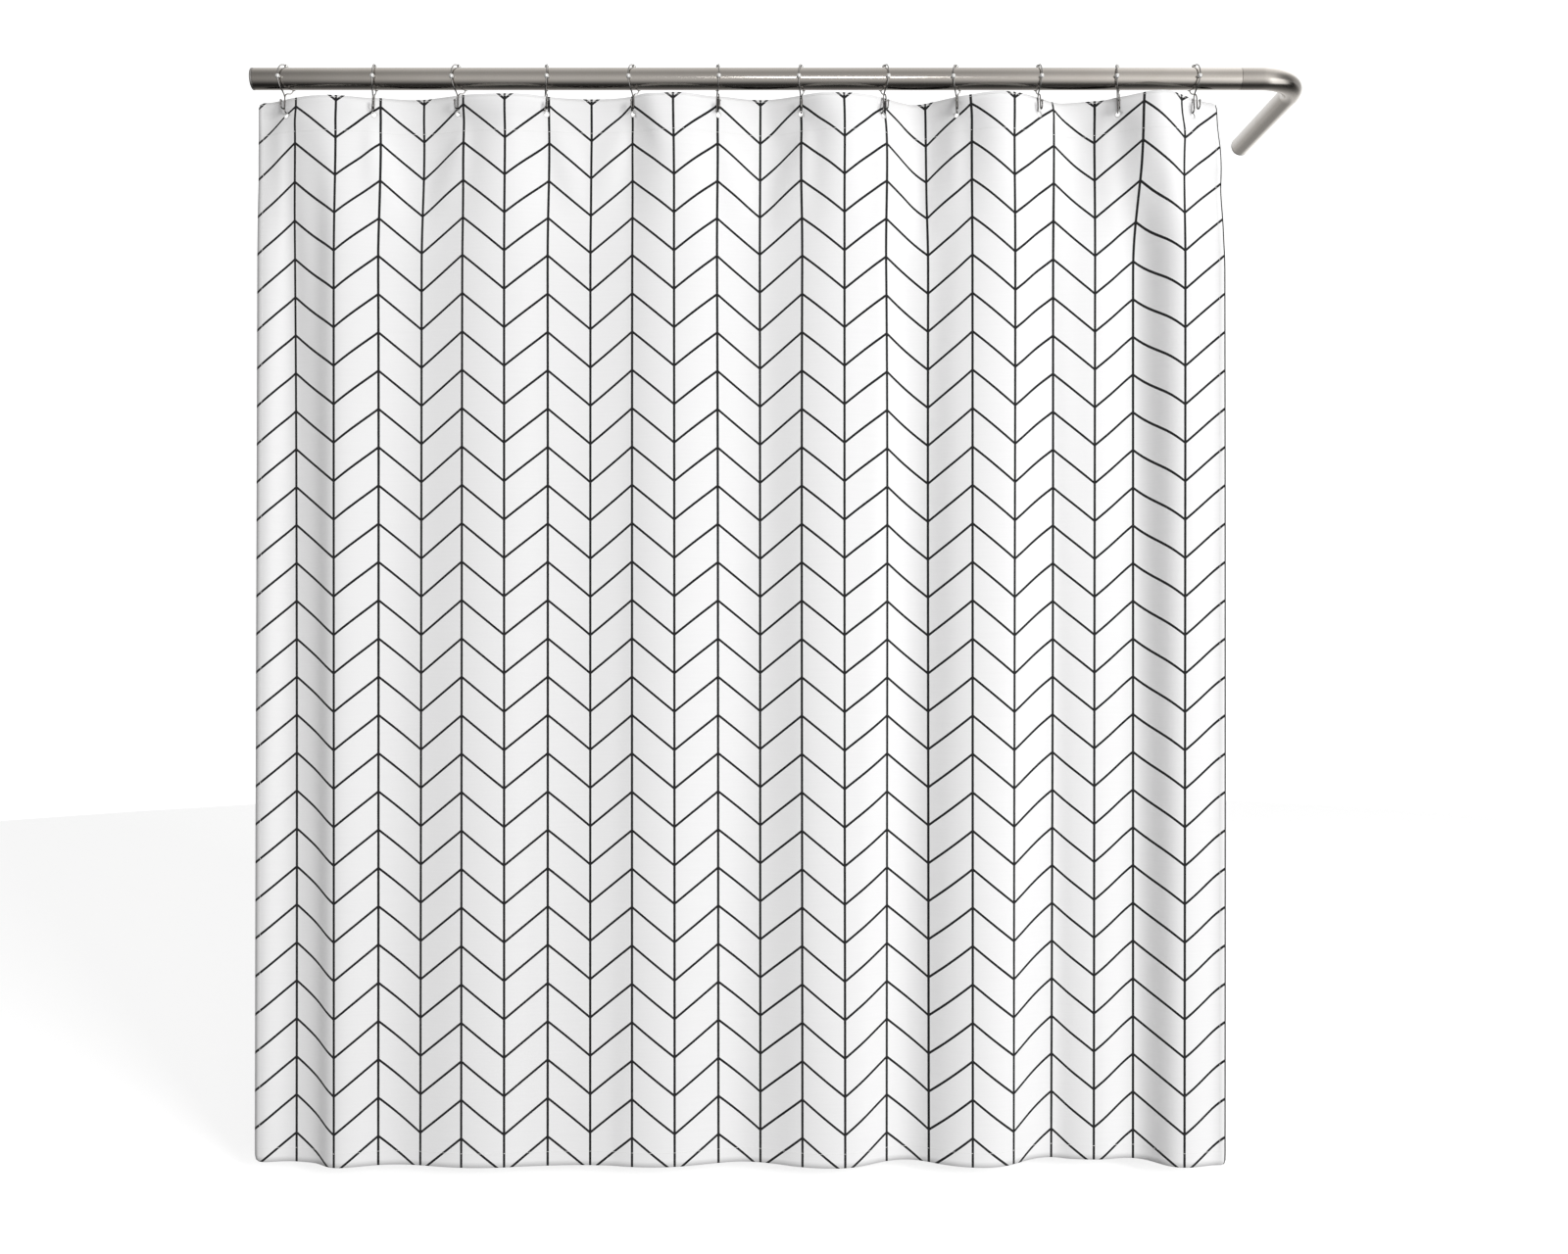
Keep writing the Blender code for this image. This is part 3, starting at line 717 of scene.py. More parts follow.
@dataclass
class Curtain:
    """The printed cloth with its header tape, hems, eyelets and stitching."""

    finishes: Finishes
    width: float = CLOTH_WIDTH
    drop: float = CLOTH_DROP
    thickness: float = 0.0004
    sim_columns: int = 116
    sim_rows: int = 92
    sim_frames: int = 50
    drape_limit: float = 0.006        # the drape's motion is held to this
    cloth_settings: tuple[tuple[str, float], ...] = (
        ("quality", 6), ("mass", 0.12), ("tension_stiffness", 30), ("compression_stiffness", 30),
        ("shear_stiffness", 12), ("bending_stiffness", 0.8), ("tension_damping", 12),
        ("compression_damping", 12), ("air_damping", 4), ("pin_stiffness", 1.0))
    eyelet_inset: float = EYELET_INSET
    eyelet_radius: float = EYELET_RADIUS
    overcast: float = 0.0013          # width of the thread round an eyelet
    hem_height: float = 0.026
    side_hem: float = 0.012
    tape_top: float = 0.0015
    tape_height: float = 0.062
    tape_thickness: float = 0.0004
    stitch_length: float = 0.0030
    stitch_pitch: float = 0.0042
    thread_width: float = 0.0005
    punch_sides: int = 28
    punch_depth: float = 0.012
    overcast_turns: int = 30
    overcast_width: float = 0.0007
    overcast_stand: float = 0.0012    # how far the overcasting stands proud of both faces
    overcast_back: float = 0.00035    # its middle, behind the cloth's
    layer_gap: float = 0.0002         # between two layers of cloth
    tape_stitch_inset: float = 0.002
    top_stitch_inset: float = 0.0035
    stitch_gaps: tuple[float, float] = (0.0001, 0.0004)     # in front and behind
    row_ends: tuple[float, float] = (0.003, 0.997)
    tape_ends: tuple[float, float] = (0.0005, 0.9995)
    hem_ends: tuple[float, float] = (0.0003, 0.9997)
    hem_spacing: float = 0.0005       # share of the height between a side hem and its neighbours
    pinned_radius: float = 0.6        # cells around an eyelet that are held

    def eyelet_share(self, index: int) -> tuple[float, float]:
        """Give an eyelet's place as shares of the width and of the height."""
        low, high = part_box("curtain_panel")
        near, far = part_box(f"hook_{index + 1:02d}")
        return (((near.x + far.x) / 2 - low.x) / (high.x - low.x),
                1 - self.eyelet_inset / self.drop)

    def grid(self, name: str, columns: int, rows: int) -> tuple[bmesh.types.BMesh, list[tuple]]:
        """Start a flat grid with the cloth's UV map.

        Args:
            name: Name of the UV map.
            columns: Cells across.
            rows: Cells up.

        Returns:
            The bmesh, and (vertex, share along, share up) for each vertex.
        """
        bm = bmesh.new()
        bm.loops.layers.uv.new(name)
        bmesh.ops.create_grid(bm, x_segments=columns, y_segments=rows, size=0.5, calc_uvs=True)
        return bm, [(vert, vert.co.x + 0.5, vert.co.y + 0.5) for vert in bm.verts]

    def build_panel(self) -> bpy.types.Object:
        """Hang the flat cloth in its folds, drape it and read its shape."""
        folds = FoldLine()
        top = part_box("curtain_panel")[1].z
        bm, spots = self.grid("cloth", self.sim_columns, self.sim_rows)
        along = np.linspace(0, 1, self.sim_columns + 1)
        plans = [folds.row(along * self.width, 1 - row / self.sim_rows)
                 for row in range(self.sim_rows + 1)]
        for vert, share, up in spots:
            plan = plans[round(up * self.sim_rows)][round(share * self.sim_columns)]
            vert.co = (plan[0], plan[1], top - (1 - up) * self.drop)
        mesh = smooth_mesh("curtain_cloth", bm, self.finishes.cloth_front, self.finishes.cloth_back)
        panel = linked("curtain_cloth", mesh)
        self.drape(panel)
        smooth = panel.modifiers.new("finer", "SUBSURF")
        smooth.levels = smooth.render_levels = 1
        applied(panel)
        self.map = self.read_map(panel)
        return panel

    def drape(self, panel: bpy.types.Object) -> None:
        """Let gravity settle the cloth on its eyelets, and keep a little of that motion.

        Args:
            panel: The cloth in its starting folds.
        """
        scene = bpy.context.scene
        start = np.array([vert.co for vert in panel.data.vertices])
        held = panel.vertex_groups.new(name="eyelets")
        cell = self.width / self.sim_columns
        for index in range(HOOK_COUNT):
            along, up = self.eyelet_share(index)
            column = round(along * self.sim_columns)
            row = round(up * self.sim_rows)
            wanted = start[row * (self.sim_columns + 1) + column]
            near = np.linalg.norm(start - wanted, axis=1)
            for vert in np.flatnonzero(near < cell * self.pinned_radius):
                held.add([int(vert)], 1.0, "REPLACE")
        cloth = panel.modifiers.new("drape", "CLOTH")
        for setting, value in self.cloth_settings:
            setattr(cloth.settings, setting, value)
        cloth.settings.vertex_group_mass = "eyelets"
        cloth.collision_settings.use_collision = False
        cloth.point_cache.frame_start = 1
        cloth.point_cache.frame_end = self.sim_frames
        scene.frame_start, scene.frame_end = 1, self.sim_frames
        for step in range(1, self.sim_frames + 1):
            scene.frame_set(step)
        applied(panel)
        scene.frame_set(1)
        moved = np.array([vert.co for vert in panel.data.vertices]) - start
        size = np.linalg.norm(moved, axis=1)
        log.info("drape moved the cloth by %.1f mm at most", size.max() * 1000)
        limit = self.drape_limit
        share = limit * np.tanh(size / limit) / np.maximum(size, 1e-9)
        for vert, rest, move in zip(panel.data.vertices, start, moved * share[:, None]):
            vert.co = rest + move

    def read_map(self, panel: bpy.types.Object) -> ClothMap:
        """Sort the fine cloth's vertices into rows and columns by its UV map."""
        mesh = panel.data
        uv = np.zeros(len(mesh.loops) * 2)
        mesh.uv_layers["cloth"].data.foreach_get("uv", uv)
        corner = np.zeros(len(mesh.loops), dtype=int)
        mesh.loops.foreach_get("vertex_index", corner)
        places = np.zeros((len(mesh.vertices), 2))
        places[corner] = uv.reshape(-1, 2)
        rows, columns = self.sim_rows * 2, self.sim_columns * 2
        points = np.zeros((rows + 1, columns + 1, 3))
        for vert, (share, up) in zip(mesh.vertices, places):
            points[round(up * rows), round(share * columns)] = vert.co
        return ClothMap(points)

    def strip(self, name: str, low: tuple[float, float], high: tuple[float, float],
              cells: tuple[int, int], off: float, thickness: float,
              materials: tuple[bpy.types.Material, bpy.types.Material],
              mirrored: bool = False) -> bpy.types.Object:
        """Sew a strip of cloth behind the curtain.

        Args:
            name: Name of the strip.
            low: Shares of width and height at its lower left.
            high: Shares of width and height at its upper right.
            cells: Cells across and up.
            off: Distance from the cloth's middle to the strip's; below 0 is behind.
            thickness: The strip's thickness.
            materials: Its front and back.
            mirrored: True for a turned-up hem, which shows the print of the cloth below.

        Returns:
            The strip.
        """
        bm, spots = self.grid("cloth", *cells)
        layer = bm.loops.layers.uv["cloth"]
        spread = {}
        for vert, share, rise in spots:
            along = low[0] + (high[0] - low[0]) * share
            up = low[1] + (high[1] - low[1]) * rise
            vert.co = self.map.spot(along, up) + self.map.normal(along, up) * off
            spread[vert] = (along, up)
        for face in bm.faces:
            for loop in face.loops:
                along, up = spread[loop.vert]
                loop[layer].uv = (along, 2 * low[1] - up if mirrored else up)
        strip = linked(name, smooth_mesh(name, bm, *materials))
        self.thicken(strip, thickness)
        return strip

    def thicken(self, sheet: bpy.types.Object, thickness: float) -> None:
        """Give a sheet its thickness, with its second material on the back."""
        wall = sheet.modifiers.new("thickness", "SOLIDIFY")
        wall.thickness = thickness
        wall.offset = 0
        wall.material_offset = 1
        wall.material_offset_rim = 1
        applied(sheet)

    def punch(self, sheet: bpy.types.Object) -> None:
        """Cut the twelve eyelets out of a sheet."""
        bm = bmesh.new()
        for index in range(HOOK_COUNT):
            place = self.map.frame_at(*self.eyelet_share(index), 0.0)
            bmesh.ops.create_cone(bm, cap_ends=True, segments=self.punch_sides,
                                  radius1=self.eyelet_radius, radius2=self.eyelet_radius,
                                  depth=self.punch_depth, matrix=place)
        carve(sheet, new_piece(f"{sheet.name}_punch", bm, self.finishes.thread))

    def stitches(self, name: str, rows: list[tuple[tuple[float, float], tuple[float, float]]],
                 off: float) -> bpy.types.Object:
        """Sew straight rows of stitches that lie on one side of the cloth.

        Args:
            name: Name of the stitching.
            rows: Start and end of each row, as shares of width and height.
            off: Distance in front of the cloth's middle; below 0 is behind.

        Returns:
            The stitching.
        """
        sewn = bmesh.new()
        seam = bpy.data.meshes.new("seam")
        shape = Matrix.Diagonal((self.stitch_length, self.thread_width, self.thread_width, 1))
        for start, end in rows:
            bm = bmesh.new()
            across = (end[0] - start[0]) * self.width
            rise = (end[1] - start[1]) * self.drop
            count = int(math.hypot(across, rise) / self.stitch_pitch)
            for step in range(count):
                share = (step + 0.5) / count
                along = start[0] + (end[0] - start[0]) * share
                up = start[1] + (end[1] - start[1]) * share
                place = self.map.frame_at(along, up, off, turned=abs(rise) > abs(across))
                bmesh.ops.create_cube(bm, size=1, matrix=place @ shape)
            bm.to_mesh(seam)
            bm.free()
            sewn.from_mesh(seam)
        bpy.data.meshes.remove(seam)
        return new_piece(name, sewn, self.finishes.thread)

    def eyelet_stitching(self) -> bpy.types.Object:
        """Overcast the edge of every eyelet with thread, on both faces."""
        bm = bmesh.new()
        turns = self.overcast_turns
        depth = (self.thickness + self.tape_thickness) + self.overcast_stand
        shape = Matrix.Diagonal((self.overcast, self.overcast_width, depth, 1))
        for index in range(HOOK_COUNT):
            place = self.map.frame_at(*self.eyelet_share(index), -self.overcast_back)
            for turn in range(turns):
                around = Matrix.Rotation(2 * math.pi * turn / turns, 4, "Z")
                reach = Matrix.Translation((self.eyelet_radius + self.overcast * 0.35, 0, 0))
                bmesh.ops.create_cube(bm, size=1, matrix=place @ around @ reach @ shape)
        return new_piece("eyelet_stitching", bm, self.finishes.thread)

    def settle(self, piece: bpy.types.Object) -> bpy.types.Object:
        """Make a piece sway and gather with the cloth."""
        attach(piece, "curtain")
        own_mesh(piece)
        return piece

    def build(self) -> None:
        """Build the cloth and everything sewn to it."""
        panel = self.build_panel()
        self.thicken(panel, self.thickness)
        self.punch(panel)
        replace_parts(panel, "curtain_panel")
        finish = self.finishes
        behind = -(self.thickness + self.tape_thickness) / 2 - self.layer_gap
        tape_low = 1 - (self.tape_top + self.tape_height) / self.drop
        first, last = self.tape_ends
        tape = self.strip("header_tape_strip", (first, tape_low), (last, 1 - self.tape_top / self.drop),
                          (self.sim_columns * 2, 8), behind, self.tape_thickness,
                          (finish.tape, finish.tape))
        self.punch(tape)
        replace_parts(tape, "header_tape")
        fabric = (finish.cloth_back, finish.cloth_front)
        hem_top = self.hem_height / self.drop
        fold = -self.thickness - self.layer_gap
        first, last = self.hem_ends
        hem = self.strip("bottom_hem", (0.0, first), (1.0, hem_top), (self.sim_columns * 2, 3),
                         fold, self.thickness, fabric, mirrored=True)
        side = self.side_hem / self.width
        low_side, high_side = hem_top + self.hem_spacing, tape_low - self.hem_spacing
        left = self.strip("left_side_hem", (first, low_side), (side, high_side),
                          (2, self.sim_rows * 2), fold, self.thickness, fabric)
        right = self.strip("right_side_hem", (1 - side, low_side), (last, high_side),
                           (2, self.sim_rows * 2), fold, self.thickness, fabric)
        inset = self.tape_stitch_inset
        heights = (hem_top - inset / self.drop, tape_low + inset / self.drop,
                   1 - self.top_stitch_inset / self.drop)
        first, last = self.row_ends
        rows = [((first, height), (last, height)) for height in heights]
        for along in (side - inset / self.width, 1 - side + inset / self.width):
            rows.append(((along, low_side), (along, tape_low)))
        front_gap, back_gap = self.stitch_gaps
        front = self.stitches("front_stitching", rows, self.thickness / 2 + front_gap)
        back = self.stitches("back_stitching", rows, -self.thickness * 1.5 - back_gap)
        eyelets = self.eyelet_stitching()
        panel.visible_glossy = False
        self.settle(panel)
        self.settle(tape)
        for piece in (hem, left, right):
            self.settle(piece)
        for piece in (front, back, eyelets):
            self.settle(piece)
        log.info("curtain: cloth, tape, three hems, stitching and %d eyelets", HOOK_COUNT)


# ---- hooks -----------------------------------------------------------------------
class RollerPlace(Enum):
    """Where a roller sits on its ring, as a step from the ring's rear foot."""

    REAR = 2
    TOP = 7
    FRONT = 12


@dataclass
class RollerHook:
    """A double hook: two crooks, a ring over the rod and three rollers on it."""

    finishes: Finishes
    wire_radius: float = 0.0012
    roller_radius: float = 0.0040
    roller_play: float = 0.00045
    ring_slack: float = 0.0015
    crossing_drop: float = 0.0023
    crossing_gap: float = 0.0006
    touch_gap: float = TOUCH_GAP
    stem_bend: float = 0.010
    stem_spread: float = 0.0025
    crook_radius: float = 0.0055
    eyelet_inset: float = EYELET_INSET
    eyelet_radius: float = EYELET_RADIUS
    hang_gap: float = 0.0010
    tip_rise: float = 0.0065
    ball_radius: float = 0.0021
    ring_steps: int = 15
    wire_sides: int = 14
    wire_fineness: int = 3            # points to each step of the ring
    ball_turn: float = 174.0          # degrees from a ball's neck to its pole
    ball_steps: int = 9
    crook_steps: int = 14
    stem_steps: int = 4
    bend_steps: int = 12
    bend_pulls: tuple[float, float] = (0.7, 0.9)
    roller_steps: int = 14
    roller_sides: int = 28
    rim_width: float = 0.0004
    rim_depth: float = 0.0003

    def __post_init__(self) -> None:
        """Work out the ring from the rod and the rollers, and the crooks from the curtain."""
        rod_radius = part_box("rod_main_tube")[1].z
        self.ring_radius = rod_radius + self.roller_radius + self.ring_slack
        self.crossing_angle = math.acos(self.ring_radius / (self.ring_radius + self.crossing_drop))
        self.step_angle = (2 * math.pi - 2 * self.crossing_angle) / self.ring_steps
        orbit = self.ring_radius * math.cos(self.step_angle / 2)
        self.ring_z = rod_radius + self.roller_radius + self.touch_gap - orbit
        self.crossing_z = self.ring_z - self.ring_radius - self.crossing_drop
        self.offset = self.wire_radius + self.crossing_gap / 2
        eyelet_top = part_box("curtain_panel")[1].z - self.eyelet_inset + self.eyelet_radius
        drop = eyelet_top - self.hang_gap - self.wire_radius
        self.crook_y = self.stem_spread + self.crook_radius
        self.crook_z = -math.sqrt(drop ** 2 - self.crook_y ** 2)

    def ring_point(self, step: float) -> Vector:
        """Give the ring's centreline at a step from its rear foot."""
        angle = -math.pi / 2 + self.crossing_angle + step * self.step_angle
        return Vector((self.offset * (1 - 2 * step / self.ring_steps),
                       self.ring_radius * math.cos(angle),
                       self.ring_z + self.ring_radius * math.sin(angle)))

    def roller_middle(self, place: RollerPlace) -> Vector:
        """Give the middle of a roller, halfway along its step of the ring."""
        return (self.ring_point(place.value) + self.ring_point(place.value + 1)) / 2

    def half_line(self) -> list[tuple[float, float, float]]:
        """Give (y, z, radius) along the wire, from the front ball to the foot of the ring."""
        crook_y = self.crook_y
        middle = self.crook_z + self.crook_radius
        ball = self.ball_radius
        ball_z = middle + self.tip_rise
        tip_y = -(crook_y + self.crook_radius)
        first = math.asin(self.wire_radius / ball)
        line = []
        for turn in range(self.ball_steps, -1, -1):
            angle = first + (math.radians(self.ball_turn) - first) * turn / self.ball_steps
            line.append((tip_y, ball_z - ball * math.cos(angle), ball * math.sin(angle)))
        for step in range(self.crook_steps + 1):
            angle = math.pi + math.pi * step / self.crook_steps
            line.append((-crook_y + self.crook_radius * math.cos(angle),
                         middle + self.crook_radius * math.sin(angle), self.wire_radius))
        stem_top = Vector((-self.stem_spread, self.crossing_z - self.stem_bend))
        low = Vector(line[-1][:2])
        line += [(*low.lerp(stem_top, step / self.stem_steps), self.wire_radius)
                 for step in range(1, self.stem_steps + 1)]
        foot = self.ring_point(0).yz
        rise = Vector((math.cos(self.crossing_angle), math.sin(self.crossing_angle)))
        first_pull = stem_top + Vector((0, self.bend_pulls[0] * self.stem_bend))
        last_pull = foot - rise * (self.bend_pulls[1] * self.stem_bend)
        for step in range(1, self.bend_steps + 1):
            t = step / self.bend_steps
            point = (stem_top * (1 - t) ** 3 + first_pull * 3 * t * (1 - t) ** 2
                     + last_pull * 3 * t ** 2 * (1 - t) + foot * t ** 3)
            line.append((point.x, point.y, self.wire_radius))
        return line

    def wire_mesh(self) -> bpy.types.Mesh:
        """Build the wire once, in the hook's own frame."""
        half = self.half_line()
        front = [(Vector((self.offset, y, z)), radius) for y, z, radius in half]
        rear = [(Vector((-self.offset, -y, z)), radius) for y, z, radius in reversed(half)]
        fine = self.wire_fineness
        middle = [(self.ring_point(step / fine), self.wire_radius)
                  for step in range(1, self.ring_steps * fine)]
        line = front + middle + rear
        bm = sweep([point for point, _ in line], [radius for _, radius in line], self.wire_sides)
        return mesh_of(new_piece("hook_wire", bm, self.finishes.wire))

    def roller_mesh(self) -> bpy.types.Mesh:
        """Build a drilled ball with softened rims, its hole along Z."""
        radius, bore = self.roller_radius, self.wire_radius + self.roller_play
        rim = math.acos((bore + self.rim_width) / radius)
        steps = self.roller_steps
        outline = [(radius * math.cos(rim - 2 * rim * step / steps),
                    radius * math.sin(rim - 2 * rim * step / steps)) for step in range(steps + 1)]
        inner = radius * math.sin(rim) - self.rim_depth
        outline += [(bore, -inner), (bore, inner)]
        ball = spin_profile(outline, self.roller_sides, Matrix.Identity(4), ring=True)
        return mesh_of(new_piece("roller", ball, self.finishes.bead))

    def place(self, number: str) -> Matrix:
        """Find a hook's place from the joints of its three rollers.

        Args:
            number: The hook's two digits.

        Returns:
            The matrix from the hook's own frame to the curtain's.
        """
        joints = {joint["name"]: joint for joint in frame["joints"]}
        mine = [self.roller_middle(place) for place in RollerPlace]
        theirs = [Vector(joints[f"roller_{number}_{place.name.lower()}_spin"]["pos_m"])
                  for place in RollerPlace]

        def axes(rear: Vector, top: Vector, front: Vector) -> Matrix:
            """Give a frame fixed to three points."""
            across = (front - rear).normalized()
            out = across.cross(top - rear).normalized()
            turned = Matrix((across, out.cross(across), out)).transposed().to_4x4()
            return Matrix.Translation((rear + top + front) / 3) @ turned

        return axes(*theirs) @ axes(*mine).inverted()

    def add(self, name: str, mesh: bpy.types.Mesh, place: Matrix, body: str,
            node: str, slot: str) -> bpy.types.Object:
        """Put a copy of a mesh in place on a body."""
        copy = mesh.copy()
        copy.transform(place)
        piece = linked(name, copy)
        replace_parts(piece, node)
        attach(piece, body)
        return piece

    def build(self) -> None:
        """Build every hook and its rollers."""
        wire, ball = self.wire_mesh(), self.roller_mesh()
        for index in range(HOOK_COUNT):
            number = f"{index + 1:02d}"
            place = self.place(number)
            self.add(f"hook_wire_{number}", wire, place, f"hook_{number}", f"hook_{number}",
                     "hook_chrome")
            for seat in RollerPlace:
                label = f"{number}_{seat.name.lower()}"
                along = self.ring_point(seat.value + 1) - self.ring_point(seat.value)
                turned = along.to_track_quat("Z", "X").to_matrix().to_4x4()
                seat_place = place @ Matrix.Translation(self.roller_middle(seat)) @ turned
                self.add(f"roller_ball_{label}", ball, seat_place, f"roller_{label}",
                         f"roller_{label}", "roller_chrome")
        log.info("hooks: %d wires and %d rollers", HOOK_COUNT, HOOK_COUNT * len(RollerPlace))


# ---- rod -------------------------------------------------------------------------
@dataclass
class CurtainRod:
    """The L-shaped rod: two tubes, a joining sleeve, two wall sockets and four screws."""

    finishes: Finishes
    wall: float = 0.0010
    bend_radius: float = 0.075
    plate: float = 0.004
    spigot: float = 0.022
    spigot_wall: float = 0.003
    touch_gap: float = TOUCH_GAP
    sides: int = 96
    bend_steps: int = 40
    lip: float = 0.0004
    edge: float = 0.0011
    wall_hole: float = 0.00225
    hole_spacing: float = 0.013
    head_radius: float = 0.0035
    head_height: float = 0.0016
    shank: float = 0.00195
    shank_chamfer: float = 0.0008
    tip_gap: float = 0.0006           # from a screw's tip to the spigot's bore
    screw_sides: int = 40
    slot_size: tuple[float, float] = (0.0009, 0.0015)
    slot_turn: float = 0.5            # radians
    hole_sides: int = 32

    def __post_init__(self) -> None:
        """Read the rod's radius from the frame."""
        self.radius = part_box("rod_main_tube")[1].z

    def main_tube(self) -> bpy.types.Object:
        """Turn the straight tube, with softened ends."""
        low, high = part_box("rod_main_tube")
        inner = self.radius - self.wall
        outline = rounded([(self.radius, high.x, self.lip), (self.radius, low.x, self.lip),
                           (inner, low.x, self.lip), (inner, high.x, self.lip)], 3)
        along = Matrix.Rotation(math.pi / 2, 4, "Y")
        tube = new_piece("rod_straight_tube", spin_profile(outline, self.sides, along, ring=True),
                         self.finishes.nickel)
        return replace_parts(tube, "rod_main_tube")

    def corner_tube(self) -> bpy.types.Object:
        """Sweep the tube round the corner, to the back wall."""
        low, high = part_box("rod_corner_tube")
        leg_x = high.x - self.radius
        bend_x = leg_x - self.bend_radius
        path = [Vector((low.x, 0, 0)), Vector((low.x + self.lip, 0, 0)), Vector((bend_x, 0, 0))]
        for step in range(1, self.bend_steps + 1):
            angle = math.pi / 2 * step / self.bend_steps
            path.append(Vector((bend_x + self.bend_radius * math.sin(angle),
                                self.bend_radius * (1 - math.cos(angle)), 0)))
        path += [Vector((leg_x, high.y - self.lip, 0)), Vector((leg_x, high.y, 0))]
        up = Vector((0, 0, 1))
        shells = []
        for radius in (self.radius, self.radius - self.wall):
            soft = self.lip if radius == self.radius else -self.lip
            radii = [radius - soft, *[radius] * (len(path) - 2), radius - soft]
            shells.append(sweep(path, radii, self.sides, side_hint=up, capped=False))
        outer, inner = shells
        mesh = bpy.data.meshes.new("corner_bore")
        inner.to_mesh(mesh)
        inner.free()
        outer.from_mesh(mesh)
        bpy.data.meshes.remove(mesh)
        rims = [edge for edge in outer.edges if edge.is_boundary]
        for at_start in (True, False):
            ring = [edge for edge in rims
                    if (edge.verts[0].co.y < 0.1) == at_start]
            bmesh.ops.bridge_loops(outer, edges=ring)
        tube = new_piece("rod_corner_sweep", outer, self.finishes.nickel)
        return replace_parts(tube, "rod_corner_tube")

    def socket(self, name: str, node: str, place: Matrix) -> bpy.types.Object:
        """Turn a wall socket: a round plate with a spigot, and two screw holes."""
        core = self.radius - self.wall - self.touch_gap
        bore = core - self.spigot_wall
        tip = self.plate + self.spigot
        edge = self.edge
        outline = rounded([(0, self.plate, 0), (bore, self.plate, 0), (bore, tip, 0.0005),
                           (core, tip, 0.0008), (core, self.plate, 0),
                           (self.radius, self.plate, 0.0003), (self.radius, 0, edge), (0, 0, 0)], 4)
        piece = new_piece(name, spin_profile(outline, self.sides, place), self.finishes.zinc)
        bm = bmesh.new()
        for side in (-1, 1):
            hole = Matrix.Translation((0, 0, side * self.hole_spacing / 2))
            turned = place.to_3x3().to_4x4()
            middle = Matrix.Translation(place.translation) @ hole @ turned
            middle = middle @ Matrix.Translation((0, 0, self.plate / 2))
            bmesh.ops.create_cone(bm, cap_ends=True, segments=self.hole_sides,
                                  radius1=self.wall_hole, radius2=self.wall_hole,
                                  depth=self.plate * 2, matrix=middle)
        carve(piece, new_piece(f"{name}_holes", bm, self.finishes.zinc))
        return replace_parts(piece, node)

    def screw(self, node: str, direction: Vector) -> bpy.types.Object:
        """Turn a pan-head screw with a slot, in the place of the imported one."""
        low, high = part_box(node)
        middle = (low + high) / 2
        on_axis = middle - direction * middle.dot(direction)
        seat = self.radius + self.touch_gap
        tip = self.radius - self.wall - self.touch_gap - self.spigot_wall - self.tip_gap
        top = seat + self.head_height
        outline = rounded([(0, top, 0), (self.head_radius * 0.7, top, 0.0006),
                           (self.head_radius, seat + self.head_height * 0.45, 0.0005),
                           (self.head_radius, seat, 0.0002), (self.shank, seat, 0),
                           (self.shank, tip + self.shank_chamfer, 0), (self.shank * 0.6, tip, 0),
                           (0, tip, 0)], 3)
        turned = direction.to_track_quat("Z", "Y").to_matrix().to_4x4()
        place = Matrix.Translation(on_axis) @ turned
        piece = new_piece(f"{node}_slotted", spin_profile(outline, self.screw_sides, place),
                          self.finishes.steel)
        bm = bmesh.new()
        slot = Matrix.Translation((0, 0, top)) @ Matrix.Rotation(self.slot_turn, 4, "Z")
        size = Matrix.Diagonal((self.head_radius * 3, *self.slot_size, 1))
        bmesh.ops.create_cube(bm, size=1, matrix=place @ slot @ size)
        carve(piece, new_piece(f"{node}_slot", bm, self.finishes.steel))
        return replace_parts(piece, node)

    def build(self) -> None:
        """Build the rod's pieces and dress the sleeve inside it."""
        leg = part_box("rod_corner_tube")[1]
        leg_x = leg.x - self.radius
        back = Matrix.Translation((leg_x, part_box("back_wall_socket")[1].y, 0))
        pieces = [
            (self.main_tube(), "brushed_nickel"), (self.corner_tube(), "brushed_nickel"),
            (self.socket("side_socket_body", "side_wall_socket", Matrix.Rotation(math.pi / 2, 4, "Y")),
             "cast_zinc"),
            (self.socket("back_socket_body", "back_wall_socket",
                         back @ Matrix.Rotation(math.pi / 2, 4, "X")), "cast_zinc")]
        rear, up = Vector((0, 1, 0)), Vector((0, 0, 1))
        for node, direction in (("side_socket_screw", rear), ("sleeve_screw_left", rear),
                                ("sleeve_screw_right", rear), ("back_socket_screw", up)):
            pieces.append((self.screw(node, direction), "screw_steel"))
        for piece, slot in pieces:
            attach(piece, "rod")
        sleeve = frame["nodes"]["rod_joining_sleeve"].data
        sleeve.materials.clear()
        sleeve.materials.append(self.finishes.zinc)
        log.info("rod: %d pieces", len(pieces) + 1)


